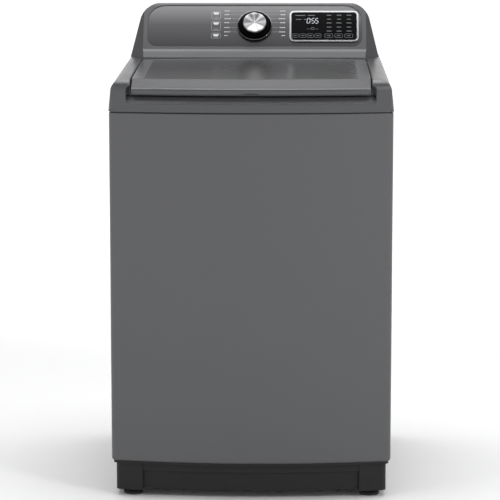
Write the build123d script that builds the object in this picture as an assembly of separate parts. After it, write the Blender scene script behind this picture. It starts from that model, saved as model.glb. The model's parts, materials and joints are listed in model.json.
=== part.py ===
from build123d import *

import os
from math import cos, radians, sin, sqrt, tan

# Top load washing machine with an impeller, as separate named pieces.
# Millimetres. Origin on the floor under the middle, +X right, +Y back, +Z up.

os.makedirs("parts", exist_ok=True)

# ---- Driving dimensions -------------------------------------------------

CABINET_WIDTH = 686.0
HALF_WIDTH = CABINET_WIDTH / 2
FRONT_Y = -365.0
SHELL_BACK_Y = 345.0
REAR_Y = 366.0
BOW_RADIUS = 1600.0
FOOT_GAP = 16.0
BASE_TOP_Z = 90.0
SEAM_Z = 948.0
SHEET = 1.5

COVER_WALL = 2.5
COVER_FLARE = 1.2
COVER_CORNER = 26.0
SHOULDER_TAPER = 0.0095
SEAM_GAP = 1.8
POCKET_FLOOR_Z = 971.5
POCKET_TOP_Z = 1012.0
POCKET_HALF_WIDTH = 300.0
POCKET_CORNER = 11.0
BROW_RIM_Z = 1026.6
RIM_RADIUS = 3.0
LID_SLOPE = radians(3.05)
LID_REFERENCE_Y = -315.0
LID_REFERENCE_Z = 1027.0
LID_HALF_WIDTH = 288.0
LID_BACK_Y = 110.0
LID_THICKNESS = 22.0
LIP_Z = 993.0
LIP_CREASE_RADIUS = 5.0
LIP_CORNER_RADIUS = 9.0
LID_GAP = 2.5
RECESS_BACK_Y = 116.0
RECESS_HALF_WIDTH = LID_HALF_WIDTH + LID_GAP
DECK_DROP = LID_THICKNESS + 6.0
TROUGH_Z = 1016.0
HINGE_Y = 97.0
HINGE_Z = 1037.0
HINGE_PIN_RADIUS = 4.0
PLATFORM_Z = 1050.0
WINDOW_HALF_WIDTH = 258.0
WINDOW_BACK_Y = 80.0
GLASS = 4.0

OPENING_CENTRE = (0.0, -107.5)
OPENING_SIZE = (430.0, 365.0)
OPENING_CORNER = 140.0
THROAT_BOTTOM_Z = 915.0

FACE_LEAN = radians(36.0)
FACE_FOOT_Y = 145.0
FACE_FOOT_Z = 1078.0
FACE_HEIGHT = 132.0
CONSOLE_TOP_Z = 1187.0
CONSOLE_WALL = 3.0
FACE_HALF_WIDTH = 287.0
CONSOLE_FOOT_HALF_WIDTH = 326.0
CONSOLE_HEAD_HALF_WIDTH = 290.5
CONSOLE_HEAD_RADIUS = 54.0
PANEL_WIDTH = 558.0
PANEL_HEIGHT = 128.0
PANEL_CORNER = 24.0
PANEL_HEAD_CORNER = 46.0
CONTROLS_V = 62.8
DISPLAY_U = 181.0
DISPLAY_SIZE = (180.0, 95.0)
DISPLAY_CORNER = 13.0

TUB_Y = -55.0
TUB_RADIUS = 272.0
TUB_WALL = 3.0
TUB_BOTTOM_Z = 300.0
TUB_TOP_Z = 868.0
TUB_MOUTH_RADIUS = 215.0
BASKET_RADIUS = 250.0
BASKET_BOTTOM_Z = 330.0
BASKET_TOP_Z = 818.0
SPIN_SHAFT_RADIUS = 15.0
AGITATOR_SHAFT_RADIUS = 9.0
RUNNING_GAP = 0.05
BEARING_RADIUS = 31.0
BEARING_WIDTH = 16.0
LOWER_BEARING_Z = 205.0
UPPER_BEARING_Z = 280.0
DRIVE_PULLEY_RADIUS = 88.0
MOTOR_PULLEY_RADIUS = 22.0
PULLEY_Z = (158.0, 174.0)
BELT_THICKNESS = 4.0
BELT_GAP = 0.3
MOTOR_OFFSET = (132.0, 132.0)
PUMP_OFFSET = (-150.0, 105.0)

ROD_OFFSET = (262.0, 232.0)
ROD_RADIUS = 5.0
RAIL_Z = 905.0
LUG_Z = (308.0, 320.0)
SPRING_Z = (228.0, 308.0)
SPRING_RADIUS = 16.0
SPRING_WIRE_RADIUS = 2.0
SPRING_TURNS = 7

DRAWER_Z = (940.0, 980.0)
DRAWER_Y = (79.0, 262.0)
DRAWER_HALF_WIDTH = 96.0

FOOT_STUD_RADIUS = 6.0
FOOT_X = 292.0
FOOT_Y = (-290.0, 296.0)

INLET_THREAD_RADIUS = 13.49
INLET_Z = 995.0
INLET_X = (205.0, 265.0)
DRAIN_SPOUT_X = 275.0
DRAIN_SPOUT_Z = 872.0
GLAND_X = -275.0
GLAND_Z = 872.0

LOCK_X = 252.0
LOCK_Y = -150.0

BOW_AXIS = Axis((0, FRONT_Y + BOW_RADIUS, 0), (0, 0, 1))
BOW_SWEEP = 26.0
FACE = Plane(
    origin=(0, FACE_FOOT_Y, FACE_FOOT_Z),
    x_dir=(1, 0, 0),
    z_dir=(0, -cos(FACE_LEAN), sin(FACE_LEAN)),
)


# ---- Shared helpers -----------------------------------------------------

def block(x, y, z):
    """Box between two corners, each axis given as (low, high)."""
    middle = ((x[0] + x[1]) / 2, (y[0] + y[1]) / 2, (z[0] + z[1]) / 2)
    return Pos(*middle) * Box(x[1] - x[0], y[1] - y[0], z[1] - z[0])


def rod(radius, z, at=(0.0, 0.0)):
    """Upright cylinder from z[0] to z[1]."""
    return Pos(at[0], at[1], (z[0] + z[1]) / 2) * Cylinder(radius, z[1] - z[0])


def tube(outer, inner, z, at=(0.0, 0.0)):
    """Upright tube from z[0] to z[1]."""
    return rod(outer, z, at) - rod(inner, z, at)


def side_shape(points, radii=0.0):
    """Face in the middle YZ plane from (y, z) points, with a radius for each corner."""
    if radii == 0.0:
        return Plane.YZ * make_face(Polyline(*points, close=True))
    return Plane.YZ * make_face(FilletPolyline(*points, radius=radii, close=True))


def across(face, half_width):
    """Side shape pushed out to half_width on both sides of the middle."""
    return extrude(face, half_width, both=True)


def along_bow(face):
    """Side shape swept round the axis of the bowed front."""
    start = face.rotate(BOW_AXIS, -BOW_SWEEP)
    return revolve(start, BOW_AXIS, 2 * BOW_SWEEP)


def turned(points, at=(0.0, 0.0)):
    """Solid of revolution about an upright axis, from (radius, z) points."""
    profile = Plane.XZ * make_face(Polyline(*points, close=True))
    return Pos(at[0], at[1], 0) * revolve(profile, Axis.Z)


def bowed_plan(inset, corner):
    """Cabinet plan with its bowed front, moved in by inset all round."""
    half = HALF_WIDTH - inset
    front = FRONT_Y + inset
    back = SHELL_BACK_Y - inset
    side_front = front + BOW_RADIUS - sqrt(BOW_RADIUS**2 - half**2)
    bow = ThreePointArc((-half, side_front), (0, front), (half, side_front))
    rest = Polyline((half, side_front), (half, back), (-half, back), (-half, side_front))
    plan = make_face([bow, rest.edges()[0], rest.edges()[1], rest.edges()[2]])
    return fillet(plan.vertices(), corner)


def plan_slab(inset, corner, z):
    """Bowed plan raised from z[0] to z[1]."""
    return extrude(Pos(0, 0, z[0]) * bowed_plan(inset, corner), z[1] - z[0])


def edges_at(solid, z):
    """Edges of a solid that lie level at one height."""
    return solid.edges().filter_by_position(Axis.Z, z - 0.01, z + 0.01)


def lid_top_z(y):
    """Height of the lid's sloping top above a point y on the middle line."""
    return LID_REFERENCE_Z + (y - LID_REFERENCE_Y) * tan(LID_SLOPE)


def deck_z(y):
    """Height of the recessed deck under the lid."""
    return lid_top_z(y) - DECK_DROP


def corners_of(offset, at=(0.0, 0.0)):
    """The four points at plus and minus an offset from a middle."""
    return [(at[0] + i * offset[0], at[1] + j * offset[1]) for j in (-1, 1) for i in (-1, 1)]


# ---- Base and feet ------------------------------------------------------

def base_frame():
    """Dark moulded base: lip, band, set-back skirt and four corner legs."""
    inner = 26.0
    ring = plan_slab(5.0, 14.0, (BASE_TOP_Z - 6.0, BASE_TOP_Z))
    ring += plan_slab(13.0, 16.0, (66.0, BASE_TOP_Z - 6.0))
    ring += plan_slab(18.0, 14.0, (20.0, 66.0))
    ring -= plan_slab(inner, 12.0, (0.0, BASE_TOP_Z + 10.0))
    leg_plan = plan_slab(11.0, 17.0, (FOOT_GAP, BASE_TOP_Z - 6.0))
    leg = 66.0
    outer = HALF_WIDTH - 11.0
    reach = 90.0
    for side in (-1, 1):
        span = sorted((side * (outer - leg), side * (outer + 1)))
        front = block(span, (FRONT_Y, FRONT_Y + reach + 34.0), (0.0, 200.0))
        back = block(span, (SHELL_BACK_Y - reach, SHELL_BACK_Y), (0.0, 200.0))
        ring += leg_plan & front
        ring += leg_plan & back
    for x in (-FOOT_X, FOOT_X):
        for y in FOOT_Y:
            ring -= rod(FOOT_STUD_RADIUS + RUNNING_GAP, (0.0, 68.0), (x, y))
    return ring


def levelling_foot(x, y):
    """Rubber-faced pad with its hexagon and threaded stud."""
    pad = turned([(0, 0), (22, 0), (24, 2), (24, 6), (17, 10), (0, 10)], (x, y))
    nut = extrude(Pos(x, y, 10.0) * RegularPolygon(11.0, 6), FOOT_GAP - 10.3)
    return pad + nut + rod(FOOT_STUD_RADIUS, (10.0, 60.0), (x, y))


# ---- Cabinet ------------------------------------------------------------

def cabinet_wrapper():
    """Bent sheet: both sides and the bowed front, with returned edges."""
    hem = 6.0
    top_edge = 3.0
    outer = plan_slab(0.0, 18.0, (BASE_TOP_Z, SEAM_Z))
    outer = fillet(edges_at(outer, BASE_TOP_Z), hem)
    outer = fillet(edges_at(outer, SEAM_Z), top_edge)
    inner = plan_slab(SHEET, 16.5, (BASE_TOP_Z + SHEET, SEAM_Z - SHEET))
    inner = fillet(edges_at(inner, BASE_TOP_Z + SHEET), hem - SHEET)
    inner = fillet(edges_at(inner, SEAM_Z - SHEET), top_edge - SHEET)
    shell = outer - inner
    shell -= plan_slab(24.0, 10.0, (BASE_TOP_Z - 5.0, SEAM_Z + 5.0))
    flange = HALF_WIDTH - 22.0
    shell -= block((-flange, flange), (SHELL_BACK_Y - 30.0, SHELL_BACK_Y + 5.0), (80.0, 960.0))
    return shell


def pressed_pad(x, z, depth):
    """Stiffening panel pressed outwards from the rear sheet: its outside and its hollow."""
    outside = block(x, (SHELL_BACK_Y + SHEET, SHELL_BACK_Y + SHEET + depth), z)
    face_edges = outside.faces().sort_by(Axis.Y)[-1].edges()
    outside = chamfer(face_edges, depth - 0.5)
    hollow = block(
        (x[0] + depth, x[1] - depth),
        (SHELL_BACK_Y - 1.0, SHELL_BACK_Y + depth),
        (z[0] + depth, z[1] - depth),
    )
    return outside, hollow


def rear_panel():
    """Flat rear sheet with pressed stiffeners, a service cut-out and two holes."""
    depth = (SHELL_BACK_Y, SHELL_BACK_Y + SHEET)
    panel = block((-333.0, 333.0), depth, (94.0, 944.0))
    for x in ((-312.0, -185.0), (185.0, 312.0)):
        outside, hollow = pressed_pad(x, (150.0, 800.0), 5.0)
        panel = panel + outside - hollow
    outside, hollow = pressed_pad((-150.0, 150.0), (470.0, 850.0), 5.0)
    panel = panel + outside - hollow
    panel -= block((-140.0, 140.0), (340.0, 350.0), (150.0, 400.0))
    panel -= Pos(DRAIN_SPOUT_X, SHELL_BACK_Y, DRAIN_SPOUT_Z) * Rot(90, 0, 0) * Cylinder(24.0, 20.0)
    panel -= Pos(GLAND_X, SHELL_BACK_Y, GLAND_Z) * Rot(90, 0, 0) * Cylinder(12.0, 20.0)
    return panel


def rear_access_cover():
    """Removable plate over the drive, with a raised middle."""
    back = SHELL_BACK_Y + SHEET
    plate = block((-155.0, 155.0), (back, back + SHEET), (135.0, 415.0))
    plate = fillet(plate.edges().filter_by(Axis.Y), 10.0)
    for z in (200.0, 240.0, 280.0, 320.0):
        plate -= block((-60.0, 60.0), (back - 1.0, back + 4.0), (z, z + 8.0))
    return plate


def screw(x, y, z, radius=4.5):
    """Pan-head screw in the rear sheet, head outwards."""
    head = Pos(x, y + 1.25, z) * Rot(-90, 0, 0) * Cone(radius, radius * 0.7, 2.5)
    return head


def cabinet_screws():
    """Screws of the rear panel, access cover and console cover, as one group."""
    sheet_y = SHELL_BACK_Y + SHEET
    places = [(x, sheet_y, z) for x in (-326.0, 326.0) for z in (110.0, 380.0, 650.0, 925.0)]
    places += [(x, sheet_y + SHEET, z) for x in (-147.0, 147.0) for z in (145.0, 405.0)]
    places += [(x, sheet_y, PLATFORM_Z + 12.0) for x in (-283.0, 0.0, 283.0)]
    return Compound([screw(*place).solid() for place in places])


# ---- Top cover ----------------------------------------------------------

def cover_section(y, inset):
    """Cross-section of the top cover: leaning sides and round shoulders."""
    radius = 29.0 - inset
    foot = HALF_WIDTH + COVER_FLARE - inset
    head = HALF_WIDTH - 4.0 - SHOULDER_TAPER * (y - FRONT_Y) - inset
    top = lid_top_z(y) - inset
    mid = radius * (1 - cos(radians(45)))
    low = SEAM_Z - 10.0 if inset else SEAM_Z + SEAM_GAP
    right = ThreePointArc(
        (head, y, top - radius), (head - mid, y, top - mid), (head - radius, y, top)
    )
    left = ThreePointArc(
        (-head + radius, y, top), (-head + mid, y, top - mid), (-head, y, top - radius)
    )
    edges = [
        Line((-foot, y, low), (foot, y, low)),
        Line((foot, y, low), (head, y, top - radius)),
        right,
        Line((head - radius, y, top), (-head + radius, y, top)),
        left,
        Line((-head, y, top - radius), (-foot, y, low)),
    ]
    return Face(Wire([edge.edge() for edge in edges]))


def cover_body(inset):
    """Solid outline of the top cover, moved in by inset."""
    blank = loft([cover_section(FRONT_Y - 6.0, inset), cover_section(SHELL_BACK_Y, inset)], ruled=True)
    front = FRONT_Y - 1.0 + inset
    brow = 33.0 - inset
    brow_top = lid_top_z(FRONT_Y + brow) + 0.6 - inset
    ceiling = 1120.0
    profile = side_shape(
        [(front, SEAM_Z - 20), (front, brow_top), (REAR_Y, ceiling), (REAR_Y, SEAM_Z - 20)],
        [0, brow, 0, 0],
    )
    blank &= along_bow(profile)
    blank &= plan_slab(inset - COVER_FLARE, COVER_CORNER - inset, (SEAM_Z - 20.0, ceiling))
    blank &= block((-400, 400), (-450, SHELL_BACK_Y + 1.0 - inset), (900, ceiling))
    platform = PLATFORM_Z - inset
    return blank - block((-400, 400), (RECESS_BACK_Y - inset, 400), (platform, 1200))


def lid_recess(grow):
    """Space that the lid and the finger pocket take out of the cover, widened by grow."""
    front = FRONT_Y - 30.0
    back = RECESS_BACK_Y + grow
    deck = side_shape([
        (front, 1300),
        (front, 995 - grow),
        (FRONT_Y + 20 + grow, 995 - grow),
        (FRONT_Y + 30 + grow, deck_z(FRONT_Y + 30) - grow),
        (200, deck_z(200) - grow),
        (200, 1300),
    ])
    half = RECESS_HALF_WIDTH + grow
    room = along_bow(deck) & block((-half, half), (-450, back), (900, 1300))
    room += block((-half, half), (75.0 - grow, back), (TROUGH_Z - grow, 1300))
    floor = POCKET_FLOOR_Z - grow
    scoop = side_shape([
        (front, POCKET_TOP_Z),
        (front, floor),
        (FRONT_Y + 1.5, floor),
        (FRONT_Y + 13 + grow, 986 - grow),
        (FRONT_Y + 25 + grow, 988 - grow),
        (FRONT_Y + 25 + grow, POCKET_TOP_Z),
    ])
    reach = POCKET_HALF_WIDTH + grow
    mouth = block((-reach, reach), (-450, -200), (floor, POCKET_TOP_Z))
    mouth = fillet(mouth.edges().filter_by(Axis.Y), POCKET_CORNER + grow)
    return room + (along_bow(scoop) & mouth)


def recess_rim(blank):
    """Edges where the lid recess and the finger pocket break through the cover's outside."""
    rim = []
    for edge in blank.edges():
        offset = abs((edge @ 0.5).X)
        box = edge.bounding_box()
        beside = POCKET_HALF_WIDTH - POCKET_CORNER - 0.1 < offset < POCKET_HALF_WIDTH + 0.5
        outside = box.max.Y < FRONT_Y + 44.5 and box.size.Y < 2.5 and box.min.Z > POCKET_FLOOR_Z - 0.5
        brow = box.min.Y < FRONT_Y + 35.0 and box.size.X < 0.1 and abs(box.max.Z - BROW_RIM_Z) < 0.5
        top = edge.length > 400.0 and box.size.X < 0.1 and box.max.Z > PLATFORM_Z - 1.0
        if beside and (top or brow or (outside and box.size.X < 12.0)):
            rim.append(edge)
        elif box.size.X > 500.0 and box.min.Y < FRONT_Y - 0.9 and abs(box.max.Z - POCKET_FLOOR_Z) < 0.1:
            rim.append(edge)
    return rim


def cover_seat():
    """Flange that rests on the cabinet's top edge and leaves the seam open."""
    ledge_z = SEAM_Z + SEAM_GAP
    seat = plan_slab(-1.0, 18.0, (ledge_z, ledge_z + 4.0))
    seat += plan_slab(4.0, 14.0, (SEAM_Z, ledge_z))
    seat -= plan_slab(9.0, 10.0, (SEAM_Z - 1.0, ledge_z + 5.0))
    flange = HALF_WIDTH - 22.0
    return seat - block((-flange, flange), (SHELL_BACK_Y - 30.0, 400.0), (900.0, 1000.0))


def opening_prism(grow, z):
    """Rounded opening through the deck, widened by grow."""
    outline = RectangleRounded(
        OPENING_SIZE[0] + 2 * grow, OPENING_SIZE[1] + 2 * grow, OPENING_CORNER + grow
    )
    return extrude(Pos(OPENING_CENTRE[0], OPENING_CENTRE[1], z[0]) * outline, z[1] - z[0])


def hinge_hole(radius, x):
    """Cylinder on the hinge line between two x values."""
    middle = (x[0] + x[1]) / 2
    return Pos(middle, HINGE_Y, HINGE_Z) * Rot(0, 90, 0) * Cylinder(radius, x[1] - x[0])


def top_cover():
    """Painted cover with the lid recess, finger pocket, laundry opening and throat."""
    shell = cover_body(0.0) - lid_recess(0.0)
    shell = fillet(recess_rim(shell), RIM_RADIUS)
    shell -= cover_body(COVER_WALL) - lid_recess(COVER_WALL)
    throat = opening_prism(COVER_WALL, (THROAT_BOTTOM_Z, 1040.0)) - lid_recess(0.0)
    shell += throat
    shell += cover_seat()
    shell -= opening_prism(0.0, (900.0, 1100.0))
    room = DRAWER_HALF_WIDTH + 4.0
    shell -= block((-room, room), (60.0, 95.0), (DRAWER_Z[0] - 4.0, DRAWER_Z[1] + 4.0))
    shell -= block((LOCK_X - 5, LOCK_X + 5), (LOCK_Y - 11, LOCK_Y + 11), (980.0, 1030.0))
    for side in (-1, 1):
        shell -= hinge_hole(7.0, sorted((side * 285.0, side * 300.0)))
    for x in INLET_X:
        port = Pos(x, SHELL_BACK_Y, INLET_Z) * Rot(90, 0, 0) * Cylinder(17.0, 20.0)
        shell -= port
    return shell


# ---- Console ------------------------------------------------------------

def face_point(v, w):
    """(y, z) of a point v up the control face and w out of it."""
    y = FACE_FOOT_Y + v * sin(FACE_LEAN) - w * cos(FACE_LEAN)
    z = FACE_FOOT_Z + v * cos(FACE_LEAN) + w * sin(FACE_LEAN)
    return (y, z)


def console_body(inset):
    """Solid outline of the console: leaning face, flared sides, rounded head."""
    profile = side_shape(
        [
            (121.0, PLATFORM_Z),
            (134.0, 1066.0),
            face_point(-8.0, 0.0),
            face_point(FACE_HEIGHT, 0.0),
            (262.0, CONSOLE_TOP_Z),
            (335.0, 1130.0),
            (SHELL_BACK_Y, 1110.0),
            (SHELL_BACK_Y, PLATFORM_Z),
        ],
        [0, 4.0, 4.0, 9.0, 26.0, 12.0, 3.0, 0],
    )
    if inset:
        profile = offset(profile, -inset)
    head = CONSOLE_HEAD_HALF_WIDTH - inset
    foot = CONSOLE_FOOT_HALF_WIDTH - inset
    high = CONSOLE_TOP_Z - inset
    front_view = make_face(FilletPolyline(
        (-foot, PLATFORM_Z - 10), (foot, PLATFORM_Z - 10), (head, high), (-head, high),
        radius=[0, 0, CONSOLE_HEAD_RADIUS - inset, CONSOLE_HEAD_RADIUS - inset],
        close=True,
    ))
    front_prism = extrude(Plane.XZ * front_view, -400.0)
    near = FACE_HALF_WIDTH - inset
    flare = 60.0
    flare_view = make_face(Polyline(
        (-near, 0), (near, 0), (near + flare, -flare), (near + flare, -400),
        (-near - flare, -400), (-near - flare, -flare),
        close=True,
    ))
    flare_plane = Plane(
        origin=(0, FACE_FOOT_Y - 8.0 * sin(FACE_LEAN), FACE_FOOT_Z),
        x_dir=(1, 0, 0),
        z_dir=(0, sin(FACE_LEAN), cos(FACE_LEAN)),
    )
    flare_face = flare_plane * mirror(flare_view, Plane.XZ)
    flare_prism = extrude(flare_face, 400.0, both=True)
    return across(profile, foot + 5.0) & front_prism & flare_prism


def face_slab(width, height, corner, v, w, u=0.0):
    """Rounded plate on the control face, between depths w[0] and w[1]."""
    outline = Pos(u, v, w[0]) * RectangleRounded(width, height, corner)
    return FACE.location * extrude(outline, w[1] - w[0])


def panel_slab(w):
    """Plate in the outline of the control panel, between depths w[0] and w[1]."""
    half = PANEL_WIDTH / 2
    outline = make_face(FilletPolyline(
        (-half, 0.0, w[0]), (half, 0.0, w[0]), (half, PANEL_HEIGHT, w[0]), (-half, PANEL_HEIGHT, w[0]),
        radius=[PANEL_CORNER, PANEL_CORNER, PANEL_HEAD_CORNER, PANEL_HEAD_CORNER],
        close=True,
    ))
    return FACE.location * extrude(outline, w[1] - w[0])


def face_rod(radius, u, v, w):
    """Cylinder that stands on the control face."""
    return FACE.location * Pos(u, v, (w[0] + w[1]) / 2) * Cylinder(radius, w[1] - w[0])


def console_housing():
    """Hollow console shell, open at the fascia and at the back."""
    shell = console_body(0.0) - console_body(CONSOLE_WALL)
    shell -= panel_slab((-12.0, 8.0))
    shell -= block((-270.0, 270.0), (SHELL_BACK_Y - 10, SHELL_BACK_Y + 5), (PLATFORM_Z + 12, 1098.0))
    shell -= block((-200.0, 200.0), (200.0, 320.0), (PLATFORM_Z - 5, PLATFORM_Z + 5))
    return shell


def console_rear_cover():
    """Plate that closes the console from behind."""
    plate = block((-292.0, 292.0), (SHELL_BACK_Y, SHELL_BACK_Y + SHEET), (PLATFORM_Z + 4, 1106.0))
    plate = fillet(plate.edges().filter_by(Axis.Y), 6.0)
    for x in range(-200, 201, 20):
        slot = block((x - 3.0, x + 3.0), (SHELL_BACK_Y - 2, SHELL_BACK_Y + 4), (1070.0, 1095.0))
        plate -= slot
    return plate


def control_fascia():
    """Inset panel with the display window and the encoder hole."""
    plate = panel_slab((-4.5, -1.5))
    width, height = DISPLAY_SIZE
    corner = DISPLAY_CORNER
    plate -= face_slab(width - 4, height - 4, corner - 2, CONTROLS_V, (-10.0, 5.0), DISPLAY_U)
    return plate - face_rod(5.0, 0.0, CONTROLS_V, (-10.0, 5.0))


def display_bezel():
    """Bright frame round the display glass."""
    width, height = DISPLAY_SIZE
    corner = DISPLAY_CORNER
    frame = face_slab(width, height, corner, CONTROLS_V, (-1.5, 1.5), DISPLAY_U)
    frame += face_slab(width - 4, height - 4, corner - 2, CONTROLS_V, (-5.0, -1.5), DISPLAY_U)
    return frame - face_slab(width - 9, height - 9, corner - 4, CONTROLS_V, (-8.0, 5.0), DISPLAY_U)


def display_window():
    """Black glass of the display."""
    width, height = DISPLAY_SIZE
    return face_slab(
        width - 9, height - 9, DISPLAY_CORNER - 4, CONTROLS_V, (-5.0, 0.6), DISPLAY_U
    )


def circuit_boards():
    """Display board behind the glass and power board beside it."""
    width, height = DISPLAY_SIZE
    board = face_slab(width + 10, height - 10, 3.0, CONTROLS_V, (-14.0, -12.4), DISPLAY_U)
    cover = face_slab(width - 20, height - 30, 3.0, CONTROLS_V, (-12.4, -7.0), DISPLAY_U)
    power = face_slab(150.0, 80.0, 3.0, CONTROLS_V, (-16.0, -14.4), -160.0)
    choke = face_slab(30.0, 30.0, 2.0, CONTROLS_V + 10, (-34.0, -16.0), -190.0)
    relay = face_slab(24.0, 18.0, 1.0, CONTROLS_V - 15, (-32.0, -16.0), -130.0)
    return Compound([(board + cover).solid(), (power + choke + relay).solid()])


def rotary_encoder():
    """Encoder body behind the fascia, bored for the knob's shaft."""
    body = face_slab(34.0, 34.0, 2.0, CONTROLS_V, (-20.0, -4.5))
    body += face_rod(4.9, 0.0, CONTROLS_V, (-4.5, 0.5))
    return body - face_rod(3.0 + RUNNING_GAP, 0.0, CONTROLS_V, (-25.0, 5.0))


def knob_profile(points):
    """Turned piece on the knob's axis, from (radius, w) points."""
    profile = Plane.XZ * make_face(Polyline(*points, close=True))
    return FACE.location * Pos(0, CONTROLS_V, 0) * revolve(profile, Axis.Z)


def knob_skirt():
    """Black skirt with a raised bright rim at its foot."""
    return knob_profile([
        (3.0, 1.0), (44.0, 1.0), (44.5, 2.0), (44.5, 4.0), (43.6, 5.0), (41.5, 5.0),
        (37.5, 9.5), (33.0, 10.5), (3.0, 10.5),
    ])


def knob_cap():
    """Bright spun cap that the fingers turn."""
    return knob_profile([
        (3.0, 10.5), (31.0, 10.5), (30.6, 18.2), (29.4, 19.6), (26.0, 20.2), (0.0, 18.8),
        (0.0, 15.0), (3.0, 15.0),
    ])


def knob_shaft():
    """Shaft that carries the knob in the encoder."""
    return face_rod(3.0, 0.0, CONTROLS_V, (-19.0, 15.0))


# ---- Lid ----------------------------------------------------------------

def lid_outline(half_width, sink, thickness, y_back):
    """Wedge of the lid below its top surface, between sink and thickness."""
    profile = side_shape([
        (FRONT_Y + 3.0, LIP_Z),
        (FRONT_Y + 2.0, 1005.0),
        (LID_REFERENCE_Y, lid_top_z(LID_REFERENCE_Y) - sink),
        (200.0, lid_top_z(200.0) - sink),
        (200.0, lid_top_z(200.0) - thickness),
        (FRONT_Y + 20.0, lid_top_z(FRONT_Y + 20.0) - thickness),
        (FRONT_Y + 14.0, LIP_Z),
    ], [0, LIP_CREASE_RADIUS, 0, 0, 0, 0, 0])
    front_view = make_face(FilletPolyline(
        (-half_width, LIP_Z - 0.1), (half_width, LIP_Z - 0.1),
        (half_width, 1200.0), (-half_width, 1200.0),
        radius=[LIP_CORNER_RADIUS, LIP_CORNER_RADIUS, 0, 0],
        close=True,
    ))
    limit = extrude(Plane.XZ.offset(-y_back) * front_view, 560.0)
    return along_bow(profile) & limit


def lid_slab(x, y, depth):
    """Part of the lid between two depths below its sloping top."""
    profile = side_shape([
        (y[0], lid_top_z(y[0]) - depth[0]),
        (200.0, lid_top_z(200.0) - depth[0]),
        (200.0, lid_top_z(200.0) - depth[1]),
        (y[0], lid_top_z(y[0]) - depth[1]),
    ])
    limit = block(x, (-450.0, y[1]), (900.0, 1200.0))
    limit = fillet(limit.edges().filter_by(Axis.Z).group_by(Axis.Y)[-1], 8.0)
    return along_bow(profile) & limit


def window_cut(grow, depth):
    """Window opening, widened by grow, between two depths below the lid's top."""
    half = WINDOW_HALF_WIDTH + grow
    return lid_slab((-half, half), (LID_REFERENCE_Y - grow, WINDOW_BACK_Y + grow), depth)


def lid_solid():
    """Whole lid before its pieces are parted."""
    solid = lid_outline(LID_HALF_WIDTH, 0.0, LID_THICKNESS, LID_BACK_Y)
    back = solid.faces().sort_by(Axis.Y)[-1]
    return fillet(back.edges().sort_by(SortBy.LENGTH)[-2:], 5.0)


def handle_region():
    """Front strip of the lid that forms the pull."""
    strip = side_shape([
        (FRONT_Y - 10.0, 980.0), (FRONT_Y - 10.0, 1012.0), (FRONT_Y + 14.0, 1012.0),
        (FRONT_Y + 14.0, 980.0),
    ])
    return along_bow(strip) & block((-262.0, 262.0), (-450.0, -200.0), (900.0, 1200.0))


def lid_hollow():
    """Space under the lid frame's skin, round the window's rim."""
    skin = 3.0
    profile = side_shape([
        (FRONT_Y + 18.0, lid_top_z(FRONT_Y + 18.0) - LID_THICKNESS - 5.0),
        (FRONT_Y + 18.0, 1008.0),
        (LID_REFERENCE_Y - 2.0, lid_top_z(LID_REFERENCE_Y) - 4.5),
        (200.0, lid_top_z(200.0) - skin),
        (200.0, lid_top_z(200.0) - LID_THICKNESS - 5.0),
    ])
    half = LID_HALF_WIDTH - skin
    room = along_bow(profile) & block((-half, half), (-450.0, LID_BACK_Y - skin), (900.0, 1200.0))
    return room - window_cut(4.0, (-10.0, 60.0))


def lid_frame():
    """Painted lid frame with the window ledge and the hinge bosses."""
    ledge = -7.0
    frame = lid_solid() - handle_region() - lid_hollow()
    frame -= window_cut(0.0, (-10.0, GLASS + 0.3))
    frame -= window_cut(ledge, (-10.0, 60.0))
    for side in (-1, 1):
        frame += hinge_hole(8.0, sorted((side * 266.0, side * 286.0)))
        frame -= hinge_hole(HINGE_PIN_RADIUS, sorted((side * 264.0, side * 292.0)))
    return frame


def lid_handle():
    """Pull along the front of the lid, with a shallow finger notch below."""
    handle = lid_solid() & handle_region()
    notch = Pos(0, FRONT_Y, LIP_Z - 58.0) * Rot(90, 0, 0) * Cylinder(62.0, 60.0)
    return handle - notch


def lid_glass():
    """Tinted window let into the lid."""
    return window_cut(-0.3, (0.3, 0.3 + GLASS))


def lid_liner():
    """Inner plate that closes the frame from below, open under the window."""
    profile_y = (FRONT_Y + 24.0, LID_BACK_Y - 6.0)
    plate = lid_slab((-282.0, 282.0), profile_y, (LID_THICKNESS, LID_THICKNESS + 2.0))
    half = WINDOW_HALF_WIDTH - 7.0
    window = lid_slab((-half, half), (LID_REFERENCE_Y + 7.0, WINDOW_BACK_Y - 7.0), (10.0, 60.0))
    return plate - window


def lid_hinge_pins():
    """Two pins pressed into the lid's back corners."""
    pins = [hinge_hole(HINGE_PIN_RADIUS, sorted((s * 268.0, s * 305.0))) for s in (-1, 1)]
    return Compound([pin.solid() for pin in pins])


def hinge_dampers():
    """Damped hinge housings that the pins turn in, let into the recess walls."""
    housings = []
    for side in (-1, 1):
        housing = hinge_hole(7.0, sorted((side * RECESS_HALF_WIDTH, side * 308.0)))
        housing -= hinge_hole(HINGE_PIN_RADIUS + RUNNING_GAP, sorted((side * 280.0, side * 306.0)))
        housings.append(housing.solid())
    return Compound(housings)


def lid_under_z(x, y):
    """Height of the liner's underside, which falls away with the bow."""
    fall = BOW_RADIUS - sqrt(BOW_RADIUS**2 - x**2)
    return lid_top_z(y - fall) - LID_THICKNESS - 2.0


def lid_bulk():
    """Everything in the lid above the liner's underside."""
    return lid_slab((-290.0, 290.0), (FRONT_Y + 24.0, 100.0), (-20.0, LID_THICKNESS + 2.0))


def lid_bumpers():
    """Four rubber buttons under the lid that meet the deck."""
    buttons = []
    above = lid_bulk()
    for x, y in ((-270.0, -300.0), (270.0, -300.0), (-270.0, 50.0), (270.0, 50.0)):
        under = lid_under_z(x, y)
        buttons.append((rod(6.0, (under - 3.3, under + 1.0), (x, y)) - above).solid())
    return Compound(buttons)


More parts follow.
